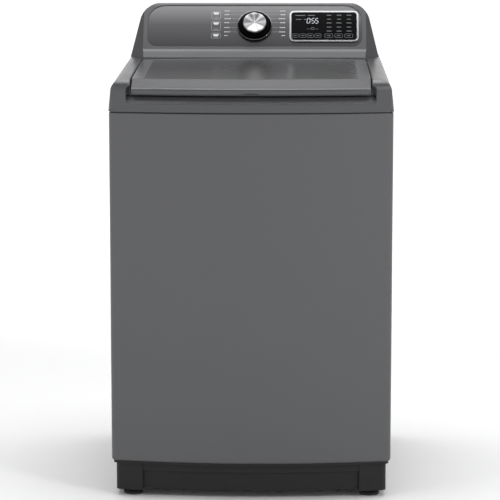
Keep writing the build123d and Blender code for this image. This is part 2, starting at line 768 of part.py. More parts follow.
def lid_strike():
    """Hooked plate under the lid, with the window that the bolt enters."""
    under = lid_under_z(LOCK_X, LOCK_Y)
    plate = block((LOCK_X - 2, LOCK_X + 1), (LOCK_Y - 8, LOCK_Y + 8), (980.0, under + 1.0))
    foot = block((LOCK_X - 2, LOCK_X + 6), (LOCK_Y - 8, LOCK_Y + 8), (under - 2.0, under + 1.0))
    window = block((LOCK_X - 9, LOCK_X + 9), (LOCK_Y - 4, LOCK_Y + 4), (983.0, 991.0))
    return plate + foot - window - lid_bulk()


def lid_lock_housing():
    """Lock case under the deck with the strike's slot and the bolt's channel."""
    case = block((238.0, 282.0), (LOCK_Y - 15, LOCK_Y + 15), (974.0, 1002.0))
    case -= block((LOCK_X - 5, LOCK_X + 5), (LOCK_Y - 10.5, LOCK_Y + 10.5), (977.0, 1010.0))
    return case - block((243.0, 276.0), (LOCK_Y - 3.1, LOCK_Y + 3.1), (984.0, 990.0))


def lock_bolt():
    """Bolt that slides through the strike."""
    return block((258.0, 275.0), (LOCK_Y - 2.8, LOCK_Y + 2.8), (984.3, 989.7))


# ---- Suspended tub ------------------------------------------------------

def tub_centre(dx=0.0, dy=0.0):
    """Plan position measured from the tub's axis."""
    return (dx, TUB_Y + dy)


def rod_places():
    """Plan positions of the four suspension rods."""
    return corners_of(ROD_OFFSET, tub_centre())


def outer_tub():
    """Water tub with a ribbed floor, a bearing well and four spring lugs."""
    centre = tub_centre()
    tub = rod(TUB_RADIUS, (TUB_BOTTOM_Z, TUB_TOP_Z), centre)
    tub = fillet(edges_at(tub, TUB_BOTTOM_Z), 18.0)
    inside = rod(TUB_RADIUS - TUB_WALL, (TUB_BOTTOM_Z + TUB_WALL, TUB_TOP_Z + 5), centre)
    inside = fillet(edges_at(inside, TUB_BOTTOM_Z + TUB_WALL), 15.0)
    tub += tube(TUB_RADIUS + 6.0, TUB_RADIUS - 1.0, (TUB_TOP_Z - 5.0, TUB_TOP_Z), centre)
    for x, y in rod_places():
        arm = block((x - 16, x + 16), sorted((TUB_Y, y + (16 if y > TUB_Y else -16))), LUG_Z)
        tub += arm
        tub += rod(17.0, (LUG_Z[0], LUG_Z[1] + 18.0), (x, y))
    for turn in range(12):
        rib = block((70.0, TUB_RADIUS - 22.0), (-1.5, 1.5), (TUB_BOTTOM_Z - 12.0, TUB_BOTTOM_Z + 1.0))
        tub += Pos(centre[0], centre[1], 0) * Rot(0, 0, 15.0 + 30.0 * turn) * rib
    tub -= inside
    tub -= rod(62.0, (TUB_BOTTOM_Z - 20.0, TUB_BOTTOM_Z + 20.0), centre)
    pump = tub_centre(*PUMP_OFFSET)
    tub += tube(17.0, 13.0, (TUB_BOTTOM_Z - 14.0, TUB_BOTTOM_Z + 2.0), pump)
    tub -= rod(13.0, (TUB_BOTTOM_Z - 20.0, TUB_BOTTOM_Z + 10.0), pump)
    for x, y in rod_places():
        tub -= rod(ROD_RADIUS + 1.0, (LUG_Z[0] - 5.0, LUG_Z[1] + 25.0), (x, y))
    return tub


def tub_cover():
    """Ring on the tub's rim that keeps the water in."""
    return turned([
        (TUB_RADIUS + 7.0, TUB_TOP_Z - 12.0), (TUB_RADIUS + 9.5, TUB_TOP_Z - 12.0),
        (TUB_RADIUS + 9.5, TUB_TOP_Z + 3.0), (TUB_MOUTH_RADIUS + 20.0, TUB_TOP_Z + 12.0),
        (TUB_MOUTH_RADIUS, TUB_TOP_Z + 12.0), (TUB_MOUTH_RADIUS, TUB_TOP_Z - 6.0),
        (TUB_MOUTH_RADIUS + 2.5, TUB_TOP_Z - 6.0), (TUB_MOUTH_RADIUS + 2.5, TUB_TOP_Z + 9.5),
        (TUB_MOUTH_RADIUS + 20.0, TUB_TOP_Z + 9.5), (TUB_RADIUS + 7.0, TUB_TOP_Z),
    ], tub_centre())


def bearing_housing():
    """Cast housing under the tub that carries both bearings."""
    low = LOWER_BEARING_Z
    high = UPPER_BEARING_Z
    return turned([
        (SPIN_SHAFT_RADIUS + 2, low - 4), (BEARING_RADIUS + 6, low - 4), (BEARING_RADIUS + 6, 265),
        (62, 290), (62, TUB_BOTTOM_Z + TUB_WALL), (BEARING_RADIUS, TUB_BOTTOM_Z + TUB_WALL),
        (BEARING_RADIUS, high), (SPIN_SHAFT_RADIUS + 6, high),
        (SPIN_SHAFT_RADIUS + 6, low + BEARING_WIDTH), (BEARING_RADIUS, low + BEARING_WIDTH),
        (BEARING_RADIUS, low), (SPIN_SHAFT_RADIUS + 2, low),
    ], tub_centre())


def shaft_bearings():
    """Upper and lower bearing of the spin shaft."""
    rings = []
    for z in (LOWER_BEARING_Z, UPPER_BEARING_Z):
        ring = tube(
            BEARING_RADIUS, SPIN_SHAFT_RADIUS + RUNNING_GAP, (z, z + BEARING_WIDTH), tub_centre()
        )
        ring -= tube(BEARING_RADIUS - 4, SPIN_SHAFT_RADIUS + 4, (z - 1, z + 1), tub_centre())
        rings.append(ring.solid())
    return Compound(rings)


def tub_seal():
    """Lipped water seal above the upper bearing."""
    low = UPPER_BEARING_Z + BEARING_WIDTH
    high = TUB_BOTTOM_Z + TUB_WALL + 2.0
    inner = SPIN_SHAFT_RADIUS + RUNNING_GAP
    return turned([
        (BEARING_RADIUS, low), (BEARING_RADIUS, TUB_BOTTOM_Z + TUB_WALL), (inner + 6, high),
        (inner, high), (inner, high - 2), (inner + 3, low),
    ], tub_centre())


def motor_body():
    """Drive motor on its mounting plate under the tub."""
    x, y = tub_centre(*MOTOR_OFFSET)
    body = rod(56.0, (190.0, 268.0), (x, y))
    body = fillet(body.edges(), 6.0)
    for turn in range(18):
        fin = block((53.0, 60.0), (-1.5, 1.5), (200.0, 258.0))
        body += Pos(x, y, 0) * Rot(0, 0, 20.0 * turn) * fin
    plate = block((x - 66, x + 66), (y - 16, y + 16), (262.0, 268.0))
    body += plate
    for side in (-1, 1):
        body += rod(9.0, (268.0, TUB_BOTTOM_Z), (x + side * 52, y))
    return body - rod(6.0 + RUNNING_GAP, (185.0, 250.0), (x, y))


def motor_pulley():
    """Small pulley on the motor shaft."""
    x, y = tub_centre(*MOTOR_OFFSET)
    radius = MOTOR_PULLEY_RADIUS
    low, high = PULLEY_Z
    pulley = rod(radius, (low, high), (x, y))
    pulley += rod(radius + 5, (low - 3, low), (x, y)) + rod(radius + 5, (high, high + 3), (x, y))
    return pulley + rod(6.0, (high, 245.0), (x, y))


def belt_outline(grow):
    """Plan of the belt loop, moved out by grow from both pulleys."""
    drive = Pos(*tub_centre()) * Circle(DRIVE_PULLEY_RADIUS + grow)
    motor = Pos(*tub_centre(*MOTOR_OFFSET)) * Circle(MOTOR_PULLEY_RADIUS + grow)
    return make_hull((drive + motor).edges())


def drive_belt():
    """Flat belt round both pulleys."""
    low, high = PULLEY_Z
    outside = extrude(Pos(0, 0, low + 1) * belt_outline(BELT_GAP + BELT_THICKNESS), high - low - 2)
    inside = extrude(Pos(0, 0, low) * belt_outline(BELT_GAP), high - low)
    return outside - inside


def drive_pulley():
    """Large spoked pulley on the agitator shaft."""
    low, high = PULLEY_Z
    radius = DRIVE_PULLEY_RADIUS
    centre = tub_centre()
    pulley = tube(radius, radius - 7, (low, high), centre)
    pulley += tube(radius + 5, radius - 7, (low - 2.5, low), centre)
    pulley += tube(radius + 5, radius - 7, (high, high + 2.5), centre)
    pulley += rod(20.0, (low, high + 1.0), centre)
    for turn in range(6):
        spoke = block((0.0, radius - 5), (-7.0, 7.0), (low + 4, high - 4))
        pulley += Pos(centre[0], centre[1], 0) * Rot(0, 0, 60.0 * turn) * spoke
    return pulley - rod(AGITATOR_SHAFT_RADIUS, (low - 5, high + 5), centre)


def clutch_sleeve():
    """Splined sleeve that drops onto the pulley to spin the basket."""
    centre = tub_centre()
    low = PULLEY_Z[1] + 1.3
    sleeve = tube(25.0, SPIN_SHAFT_RADIUS + RUNNING_GAP, (low, low + 14.0), centre)
    return sleeve - tube(30.0, 21.0, (low + 5.0, low + 9.0), centre)


def agitator_shaft():
    """Inner shaft from the pulley to the impeller."""
    return rod(AGITATOR_SHAFT_RADIUS, (PULLEY_Z[0] - 4.0, BASKET_BOTTOM_Z + 48.0), tub_centre())


def spin_shaft():
    """Hollow shaft that spins the basket."""
    inner = AGITATOR_SHAFT_RADIUS + RUNNING_GAP
    return tube(SPIN_SHAFT_RADIUS, inner, (PULLEY_Z[1] + 1.5, BASKET_BOTTOM_Z + 6.0), tub_centre())


def basket_hub():
    """Cast three-armed hub under the basket's floor."""
    centre = tub_centre()
    low = BASKET_BOTTOM_Z - 14.0
    hub = rod(34.0, (low, BASKET_BOTTOM_Z), centre)
    for turn in range(3):
        arm = block((0.0, BASKET_RADIUS - 40.0), (-17.0, 17.0), (low + 4, BASKET_BOTTOM_Z))
        hub += Pos(centre[0], centre[1], 0) * Rot(0, 0, 120.0 * turn) * arm
    return hub - rod(SPIN_SHAFT_RADIUS, (low - 5, BASKET_BOTTOM_Z + 5), centre)


def basket():
    """Steel wash basket with a dished floor."""
    wall = 1.6
    outer = BASKET_RADIUS
    low = BASKET_BOTTOM_Z
    return turned([
        (SPIN_SHAFT_RADIUS, low), (outer - 30, low), (outer, low + 30), (outer, BASKET_TOP_Z),
        (outer - wall, BASKET_TOP_Z), (outer - wall, low + 30.6), (outer - 30.7, low + wall),
        (SPIN_SHAFT_RADIUS, low + wall),
    ], tub_centre())


def balance_ring():
    """Weighted ring on the basket's rim."""
    outer = BASKET_RADIUS
    low = BASKET_TOP_Z
    inner = outer - 42.0
    return turned([
        (outer, low), (outer + 3, low + 3), (outer + 3, low + 32), (outer - 6, low + 40),
        (inner + 8, low + 40), (inner, low + 30), (inner, low - 6), (inner + 6, low - 12),
        (outer - 8, low - 12), (outer - 1.6, low - 4), (outer - 1.6, low),
    ], tub_centre())


def impeller():
    """Low wash plate with four swept fins and a central dome."""
    centre = tub_centre()
    low = BASKET_BOTTOM_Z + 8.0
    radius = 208.0
    plate = turned([
        (0, low), (radius - 6, low), (radius, low + 6), (radius - 3, low + 10),
        (120, low + 13), (62, low + 24), (45, low + 40), (0, low + 46),
    ], centre)
    for turn in range(4):
        fin = turned([(30, low + 2), (radius - 14, low + 2), (radius - 26, low + 22),
                      (120, low + 40), (60, low + 56), (30, low + 56)])
        fin &= block((0.0, 230.0), (-7.0, 7.0), (300.0, 450.0))
        plate += Pos(centre[0], centre[1], 0) * Rot(0, 0, 90.0 * turn + 22.0) * fin
    return plate - rod(AGITATOR_SHAFT_RADIUS, (low - 5, BASKET_BOTTOM_Z + 48.0), centre)


def impeller_cap():
    """Cap over the bolt at the impeller's middle."""
    low = BASKET_BOTTOM_Z + 54.0
    return turned([(0, low), (26, low), (26, low + 6), (20, low + 12), (0, low + 14)], tub_centre())


def drain_pump():
    """Drain pump housing under the tub, open to the tub's sump."""
    at = tub_centre(*PUMP_OFFSET)
    top = TUB_BOTTOM_Z - 14.0
    body = rod(40.0, (top - 46.0, top), at)
    body = fillet(body.edges(), 3.0)
    body -= rod(34.0, (top - 42.0, top - 4.0), at)
    body -= rod(13.0, (top - 10.0, top + 5.0), at)
    motor = rod(24.0, (top - 88.0, top - 46.0), at)
    spout = Pos(at[0] - 30.0, at[1] + 34.0, top - 26.0) * Rot(90, 0, 0) * Cylinder(13.0, 60.0)
    bore = Pos(at[0] - 30.0, at[1] + 32.0, top - 26.0) * Rot(90, 0, 0) * Cylinder(10.0, 70.0)
    return body + motor + (spout - rod(34.0, (top - 42.0, top - 4.0), at)) - bore


def pump_impeller():
    """Vaned wheel inside the drain pump."""
    at = tub_centre(*PUMP_OFFSET)
    top = TUB_BOTTOM_Z - 14.0
    wheel = rod(28.0, (top - 38.0, top - 35.0), at) + rod(7.0, (top - 38.0, top - 16.0), at)
    for turn in range(6):
        vane = block((0.0, 27.0), (-1.2, 1.2), (top - 36.0, top - 18.0))
        wheel += Pos(at[0], at[1], 0) * Rot(0, 0, 60.0 * turn) * vane
    return wheel


def drain_hose_route():
    """Centre line of the inner drain hose, from the pump up to the rear spout."""
    at = tub_centre(*PUMP_OFFSET)
    start_z = TUB_BOTTOM_Z - 40.0
    x = at[0] - 30.0
    return FilletPolyline(
        (x, at[1] + 64.0, start_z), (x, 262.0, start_z), (x, 262.0, 700.0),
        (DRAIN_SPOUT_X, 300.0, 700.0), (DRAIN_SPOUT_X, 300.0, DRAIN_SPOUT_Z - 45.0),
        radius=[55.0, 80.0, 60.0],
    )


def drain_hose():
    """Inner drain hose between the pump and the rear spout."""
    route = drain_hose_route()
    start = Plane(origin=route @ 0, z_dir=route % 0)
    outside = sweep(start * Circle(13.0), path=route)
    return outside - sweep(start * Circle(10.0), path=route)


def drain_outlet():
    """Elbow that takes the drain out through the rear panel."""
    low = DRAIN_SPOUT_Z - 45.0
    route = FilletPolyline(
        (DRAIN_SPOUT_X, 300.0, low), (DRAIN_SPOUT_X, 300.0, DRAIN_SPOUT_Z),
        (DRAIN_SPOUT_X, REAR_Y, DRAIN_SPOUT_Z),
        radius=[28.0],
    )
    start = Plane(origin=route @ 0, z_dir=route % 0)
    elbow = sweep(start * Circle(15.0), path=route)
    centre = (DRAIN_SPOUT_X, SHELL_BACK_Y - 3.0, DRAIN_SPOUT_Z)
    elbow += Pos(*centre) * Rot(90, 0, 0) * Cylinder(30.0, 6.0)
    return elbow - sweep(start * Circle(11.0), path=route)


def suspension_rods():
    """Four hanging rods, each with its ball head and its spring cup."""
    rods = []
    for x, y in rod_places():
        hanger = rod(ROD_RADIUS, (214.0, RAIL_Z + 6.0), (x, y))
        hanger += Pos(x, y, RAIL_Z + 14.0) * Sphere(11.0) & block(
            (x - 20, x + 20), (y - 20, y + 20), (RAIL_Z + 3.0, RAIL_Z + 40.0)
        )
        cup = turned([(0, 216), (24, 216), (24, 232), (22, 232), (22, 222), (14, 228), (0, 228)], (x, y))
        rods.append((hanger + cup).solid())
    return Compound(rods)


def suspension_springs():
    """Four coil springs between the rod cups and the tub's lugs."""
    low = SPRING_Z[0] + SPRING_WIRE_RADIUS + 0.3
    height = SPRING_Z[1] - SPRING_Z[0] - 2 * SPRING_WIRE_RADIUS - 0.6
    line = Helix(height / SPRING_TURNS, height, SPRING_RADIUS + 2.0)
    start = Plane(origin=line @ 0, z_dir=line % 0)
    coil = sweep(start * Circle(SPRING_WIRE_RADIUS), path=line)
    return Compound([(Pos(x, y, low) * coil).solid() for x, y in rod_places()])


def suspension_rails():
    """Two folded rails along the cabinet's sides that carry the rods."""
    rails = []
    for side in (-1, 1):
        outer = side * (HALF_WIDTH - SHEET)
        inner = side * 232.0
        web = block(sorted((outer, inner)), (-285.0, 322.0), (RAIL_Z, RAIL_Z + 3.0))
        wall = block(sorted((outer, outer - side * 3.0)), (-285.0, 322.0), (RAIL_Z, RAIL_Z + 30.0))
        rail = web + wall
        for x, y in rod_places():
            rail -= rod(ROD_RADIUS + 1.5, (RAIL_Z - 5.0, RAIL_Z + 5.0), (x, y))
        rails.append(rail.solid())
    return Compound(rails)


# ---- Water inlet, dispenser and rear fittings ---------------------------

def inlet_valve():
    """Twin inlet valve with two threaded hose ports through the back."""
    x0, x1 = INLET_X
    body = block((x0 - 20.0, x1 + 20.0), (300.0, SHELL_BACK_Y - COVER_WALL), (INLET_Z - 20, INLET_Z + 20))
    body = fillet(body.edges(), 3.0)
    for x in INLET_X:
        port = Pos(x, REAR_Y - 13.0, INLET_Z) * Rot(90, 0, 0) * Cylinder(INLET_THREAD_RADIUS, 26.0)
        port -= Pos(x, REAR_Y - 8.0, INLET_Z) * Rot(90, 0, 0) * Cylinder(9.5, 16.5)
        body += port
        body += rod(14.0, (INLET_Z + 18.0, INLET_Z + 44.0), (x, 318.0))
    body += Pos(x0, 292.0, INLET_Z) * Rot(90, 0, 0) * Cylinder(8.0, 20.0)
    return body


def inlet_hose():
    """Short hose from the inlet valve to the dispenser."""
    route = FilletPolyline(
        (INLET_X[0], 282.0, INLET_Z), (INLET_X[0], 250.0, INLET_Z), (INLET_X[0], 250.0, 962.0),
        (DRAWER_HALF_WIDTH + 5.5, 250.0, 962.0),
        radius=[14.0, 16.0],
    )
    start = Plane(origin=route @ 0, z_dir=route % 0)
    return sweep(start * Circle(8.0), path=route)


def dispenser_housing():
    """Case behind the opening that the detergent drawer slides in."""
    wall = 2.5
    half = DRAWER_HALF_WIDTH + 3.0
    y = (DRAWER_Y[0] + 4.0, DRAWER_Y[1] + 16.0)
    z = (DRAWER_Z[0] - 3.0, DRAWER_Z[1] + 3.0)
    case = block((-half - wall, half + wall), y, (z[0] - wall, z[1] + wall))
    case -= block((-half, half), (y[0] - 5.0, y[1] - wall), z)
    return case - block((-60.0, 60.0), (y[0] + 20.0, y[0] + 60.0), (z[0] - 10, z[0] + 1))


def dispenser_drawer():
    """Detergent drawer with two compartments and a curved pull."""
    half = DRAWER_HALF_WIDTH
    low, high = DRAWER_Z
    box = block((-half, half), DRAWER_Y, (low, high - 4.0))
    for x in ((-half + 2.5, -2.0), (2.0, half - 2.5)):
        box -= block(x, (DRAWER_Y[0] + 8.0, DRAWER_Y[1] - 2.5), (low + 2.5, high + 5.0))
    front = block((-half - 1, half + 1), (DRAWER_Y[0] - 3.0, DRAWER_Y[0] + 3.0), (low - 1, high + 1))
    front = fillet(front.edges().filter_by(Axis.Y), 8.0)
    return box + front


def cord_gland():
    """Plastic gland for the mains lead in the rear panel."""
    y = SHELL_BACK_Y + SHEET
    flange = Pos(GLAND_X, y + 2.0, GLAND_Z) * Rot(90, 0, 0) * Cylinder(17.0, 4.0)
    neck = Pos(GLAND_X, y - 5.0, GLAND_Z) * Rot(90, 0, 0) * Cylinder(11.7, 12.0)
    nose = Pos(GLAND_X, y + 8.0, GLAND_Z) * Rot(-90, 0, 0) * Cone(11.0, 8.0, 9.0)
    return flange + neck + nose - Pos(GLAND_X, y, GLAND_Z) * Rot(90, 0, 0) * Cylinder(4.5, 40.0)


# ---- Writing the pieces -------------------------------------------------

def pieces():
    """Every node of the machine, by name."""
    made = {
        "base_frame": base_frame(),
        "cabinet_wrapper": cabinet_wrapper(),
        "rear_panel": rear_panel(),
        "rear_access_cover": rear_access_cover(),
        "cabinet_screws": cabinet_screws(),
        "suspension_rails": suspension_rails(),
        "suspension_rods": suspension_rods(),
        "suspension_springs": suspension_springs(),
        "top_cover": top_cover(),
        "console_housing": console_housing(),
        "console_rear_cover": console_rear_cover(),
        "control_fascia": control_fascia(),
        "display_bezel": display_bezel(),
        "display_window": display_window(),
        "circuit_boards": circuit_boards(),
        "rotary_encoder": rotary_encoder(),
        "knob_skirt": knob_skirt(),
        "knob_cap": knob_cap(),
        "knob_shaft": knob_shaft(),
        "lid_frame": lid_frame(),
        "lid_handle": lid_handle(),
        "lid_glass": lid_glass(),
        "lid_liner": lid_liner(),
        "lid_hinge_pins": lid_hinge_pins(),
        "lid_bumpers": lid_bumpers(),
        "lid_strike": lid_strike(),
        "hinge_dampers": hinge_dampers(),
        "lid_lock_housing": lid_lock_housing(),
        "lock_bolt": lock_bolt(),
        "outer_tub": outer_tub(),
        "tub_cover": tub_cover(),
        "tub_seal": tub_seal(),
        "shaft_bearings": shaft_bearings(),
        "bearing_housing": bearing_housing(),
        "motor_body": motor_body(),
        "motor_pulley": motor_pulley(),
        "drive_belt": drive_belt(),
        "drive_pulley": drive_pulley(),
        "clutch_sleeve": clutch_sleeve(),
        "agitator_shaft": agitator_shaft(),
        "spin_shaft": spin_shaft(),
        "basket_hub": basket_hub(),
        "basket": basket(),
        "balance_ring": balance_ring(),
        "impeller": impeller(),
        "impeller_cap": impeller_cap(),
        "drain_pump": drain_pump(),
        "pump_impeller": pump_impeller(),
        "drain_hose": drain_hose(),
        "drain_outlet": drain_outlet(),
        "inlet_valve": inlet_valve(),
        "inlet_hose": inlet_hose(),
        "dispenser_housing": dispenser_housing(),
        "dispenser_drawer": dispenser_drawer(),
        "cord_gland": cord_gland(),
    }
    places = [(x, y) for y in FOOT_Y for x in (-FOOT_X, FOOT_X)]
    names = ("front_left_foot", "front_right_foot", "rear_left_foot", "rear_right_foot")
    for name, place in zip(names, places):
        made[name] = levelling_foot(*place)
    return made


for node, shape in pieces().items():
    export_step(shape, f"parts/{node}.step")
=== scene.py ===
import json
from math import cos, pi, radians, sin, tan

import bmesh
import bpy
from mathutils import Matrix, Vector


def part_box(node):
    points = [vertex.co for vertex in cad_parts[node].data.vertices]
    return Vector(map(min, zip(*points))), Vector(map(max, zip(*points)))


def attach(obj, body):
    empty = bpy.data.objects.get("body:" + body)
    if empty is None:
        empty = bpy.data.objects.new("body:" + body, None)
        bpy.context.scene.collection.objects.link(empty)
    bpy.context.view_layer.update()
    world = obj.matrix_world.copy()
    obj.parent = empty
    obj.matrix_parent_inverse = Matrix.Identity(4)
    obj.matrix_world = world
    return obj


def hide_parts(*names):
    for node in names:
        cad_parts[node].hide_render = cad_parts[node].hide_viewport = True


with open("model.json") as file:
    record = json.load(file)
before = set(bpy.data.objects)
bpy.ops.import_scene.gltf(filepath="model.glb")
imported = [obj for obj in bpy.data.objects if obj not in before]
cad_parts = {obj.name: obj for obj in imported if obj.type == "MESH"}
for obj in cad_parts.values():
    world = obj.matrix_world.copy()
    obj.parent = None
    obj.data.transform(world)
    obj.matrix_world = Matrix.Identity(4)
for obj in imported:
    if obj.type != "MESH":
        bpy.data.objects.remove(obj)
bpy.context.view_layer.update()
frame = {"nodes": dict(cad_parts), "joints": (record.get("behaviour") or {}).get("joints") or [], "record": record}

MM = 0.001
NODES = frame["nodes"]
JOINTS = {joint["name"]: joint for joint in frame["joints"]}


# ---- Camera, light and floor --------------------------------------------

FRONT_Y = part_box("cabinet_wrapper")[0].y
SEAM_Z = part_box("cabinet_wrapper")[1].z
CAMERA_DISTANCE = 5.4  # metres in front of the cabinet
CAMERA_RISE = 0.48  # metres above the cabinet's top seam
CAMERA_SIDE = 0.105  # metres right of the middle
CAMERA_PITCH = 8.51  # degrees down
CAMERA_YAW = 1.13  # degrees to the left
CAMERA_LENS = 163.4  # millimetres
SENSOR_WIDTH = 36.0  # millimetres

WHITE = (1.0, 1.0, 1.0, 1.0)
WORLD_STRENGTH = 1.06
WORLD_WHITE_BELOW = 0.12  # height of the view direction, 0 level to 1 overhead
WORLD_GREY_ABOVE = 0.62
WORLD_GREY = (0.40, 0.40, 0.41, 1.0)

# name, place, size and power; every light points at LIGHT_AIM
LIGHT_AIM = (0.0, 0.0, 0.9)
LIGHTS = (
    ("top_light", (0.0, 0.3, 4.0), (3.6, 2.4), 118.0),
    ("right_light", (3.0, -3.2, 3.1), (0.9, 1.6), 55.0),
    ("left_light", (-3.2, -3.0, 3.0), (0.7, 1.6), 18.0),
)

FLOOR_HALF = 30.0
FLOOR_COLOUR = (0.9, 0.9, 0.9)
GLOW_START = 1.2  # metres from the middle of the floor
GLOW_FULL = 4.5
GLOW_STRENGTH = 0.62


def make_camera():
    """Long lens, a little above the lid and a little to the right."""
    data = bpy.data.cameras.new("camera")
    data.lens = CAMERA_LENS
    data.sensor_width = SENSOR_WIDTH
    camera = bpy.data.objects.new("camera", data)
    camera.location = (CAMERA_SIDE, FRONT_Y - CAMERA_DISTANCE, SEAM_Z + CAMERA_RISE)
    camera.rotation_euler = (radians(90.0 - CAMERA_PITCH), 0.0, radians(CAMERA_YAW))
    bpy.context.scene.collection.objects.link(camera)
    bpy.context.scene.camera = camera


def make_world():
    """White studio surround, dimmer overhead so that bright metal has something to show."""
    world = bpy.data.worlds.new("studio")
    bpy.context.scene.world = world
    world.use_nodes = True
    nodes, links = world.node_tree.nodes, world.node_tree.links
    nodes.clear()
    place = nodes.new("ShaderNodeTexCoord")
    split = nodes.new("ShaderNodeSeparateXYZ")
    ramp = nodes.new("ShaderNodeValToRGB")
    back = nodes.new("ShaderNodeBackground")
    out = nodes.new("ShaderNodeOutputWorld")
    links.new(place.outputs["Generated"], split.inputs[0])
    links.new(split.outputs["Z"], ramp.inputs[0])
    links.new(ramp.outputs[0], back.inputs["Color"])
    links.new(back.outputs[0], out.inputs["Surface"])
    stops = ramp.color_ramp.elements
    stops[0].position = WORLD_WHITE_BELOW
    stops[0].color = WHITE
    stops[1].position = WORLD_GREY_ABOVE
    stops[1].color = WORLD_GREY
    back.inputs["Strength"].default_value = WORLD_STRENGTH


def soft_box(name, at, size, power):
    """Rectangular studio light pointed at the machine."""
    data = bpy.data.lights.new(name, "AREA")
    data.shape = "RECTANGLE"
    data.size, data.size_y = size
    data.energy = power
    light = bpy.data.objects.new(name, data)
    light.location = at
    light.rotation_euler = (Vector(LIGHT_AIM) - Vector(at)).to_track_quat("-Z", "Y").to_euler()
    bpy.context.scene.collection.objects.link(light)


def floor_material():
    """Matt white floor that glows a little far from the machine, as a light table does."""
    shade = Shade("floor_white", FLOOR_COLOUR, 0.85)
    reach = shade.nodes.new("ShaderNodeVectorMath")
    reach.operation = "LENGTH"
    shade.links.new(shade.place(), reach.inputs[0])
    glow = shade.nodes.new("ShaderNodeMapRange")
    glow.interpolation_type = "SMOOTHSTEP"
    glow.inputs["From Min"].default_value = GLOW_START
    glow.inputs["From Max"].default_value = GLOW_FULL
    glow.inputs["To Max"].default_value = GLOW_STRENGTH
    shade.links.new(reach.outputs["Value"], glow.inputs["Value"])
    shade.links.new(glow.outputs["Result"], shade.shader.inputs["Emission Strength"])
    shade.shader.inputs["Emission Color"].default_value = WHITE
    shade.vary_colour(shade.noise(scale=3.0), low=0.99, high=1.01)
    return shade.material


def make_stage():
    """Plain pale floor."""
    mesh = bpy.data.meshes.new("floor")
    half = FLOOR_HALF
    corners = [(-half, -half, 0), (half, -half, 0), (half, half, 0), (-half, half, 0)]
    mesh.from_pydata(corners, [], [(0, 1, 2, 3)])
    floor = bpy.data.objects.new("floor", mesh)
    bpy.context.scene.collection.objects.link(floor)
    floor.data.materials.append(floor_material())


# ---- Materials ----------------------------------------------------------

NOISE_LOW, NOISE_HIGH = 0.25, 0.75  # where nearly all noise values lie
BEVEL_SAMPLES = 6

# colours of the control panel film from its foot up, and where the middle one sits: painted shade towards the
# foot, painted light towards the head
FASCIA_PAINTED_SHADE_FOOT = (0.018, 0.018, 0.0195, 1.0)
FASCIA_PAINTED_SHADE_MIDDLE = (0.047, 0.047, 0.049, 1.0)
FASCIA_PAINTED_LIGHT_HEAD = (0.135, 0.135, 0.139, 1.0)
FASCIA_PAINTED_SHADE_MIDDLE_AT = 0.55

# painted highlight rays on the cap: turn (0 to 1 round the cap) and brightness of each ray, and the tone between
# first and last
CAP_PAINTED_HIGHLIGHT_RAYS = (
    (0.045, 0.30), (0.10, 0.15), (0.155, 0.42), (0.20, 0.24), (0.26, 0.50), (0.31, 0.22),
    (0.385, 0.44), (0.44, 0.14), (0.51, 0.30), (0.575, 0.12), (0.64, 0.46), (0.70, 0.14),
    (0.765, 0.56), (0.82, 0.13), (0.885, 0.42), (0.94, 0.14),
)
CAP_PAINTED_RAY_SEAM = (0.13, 0.13, 0.135, 1.0)
CAP_PAINTED_RAY_BLUE = 1.02


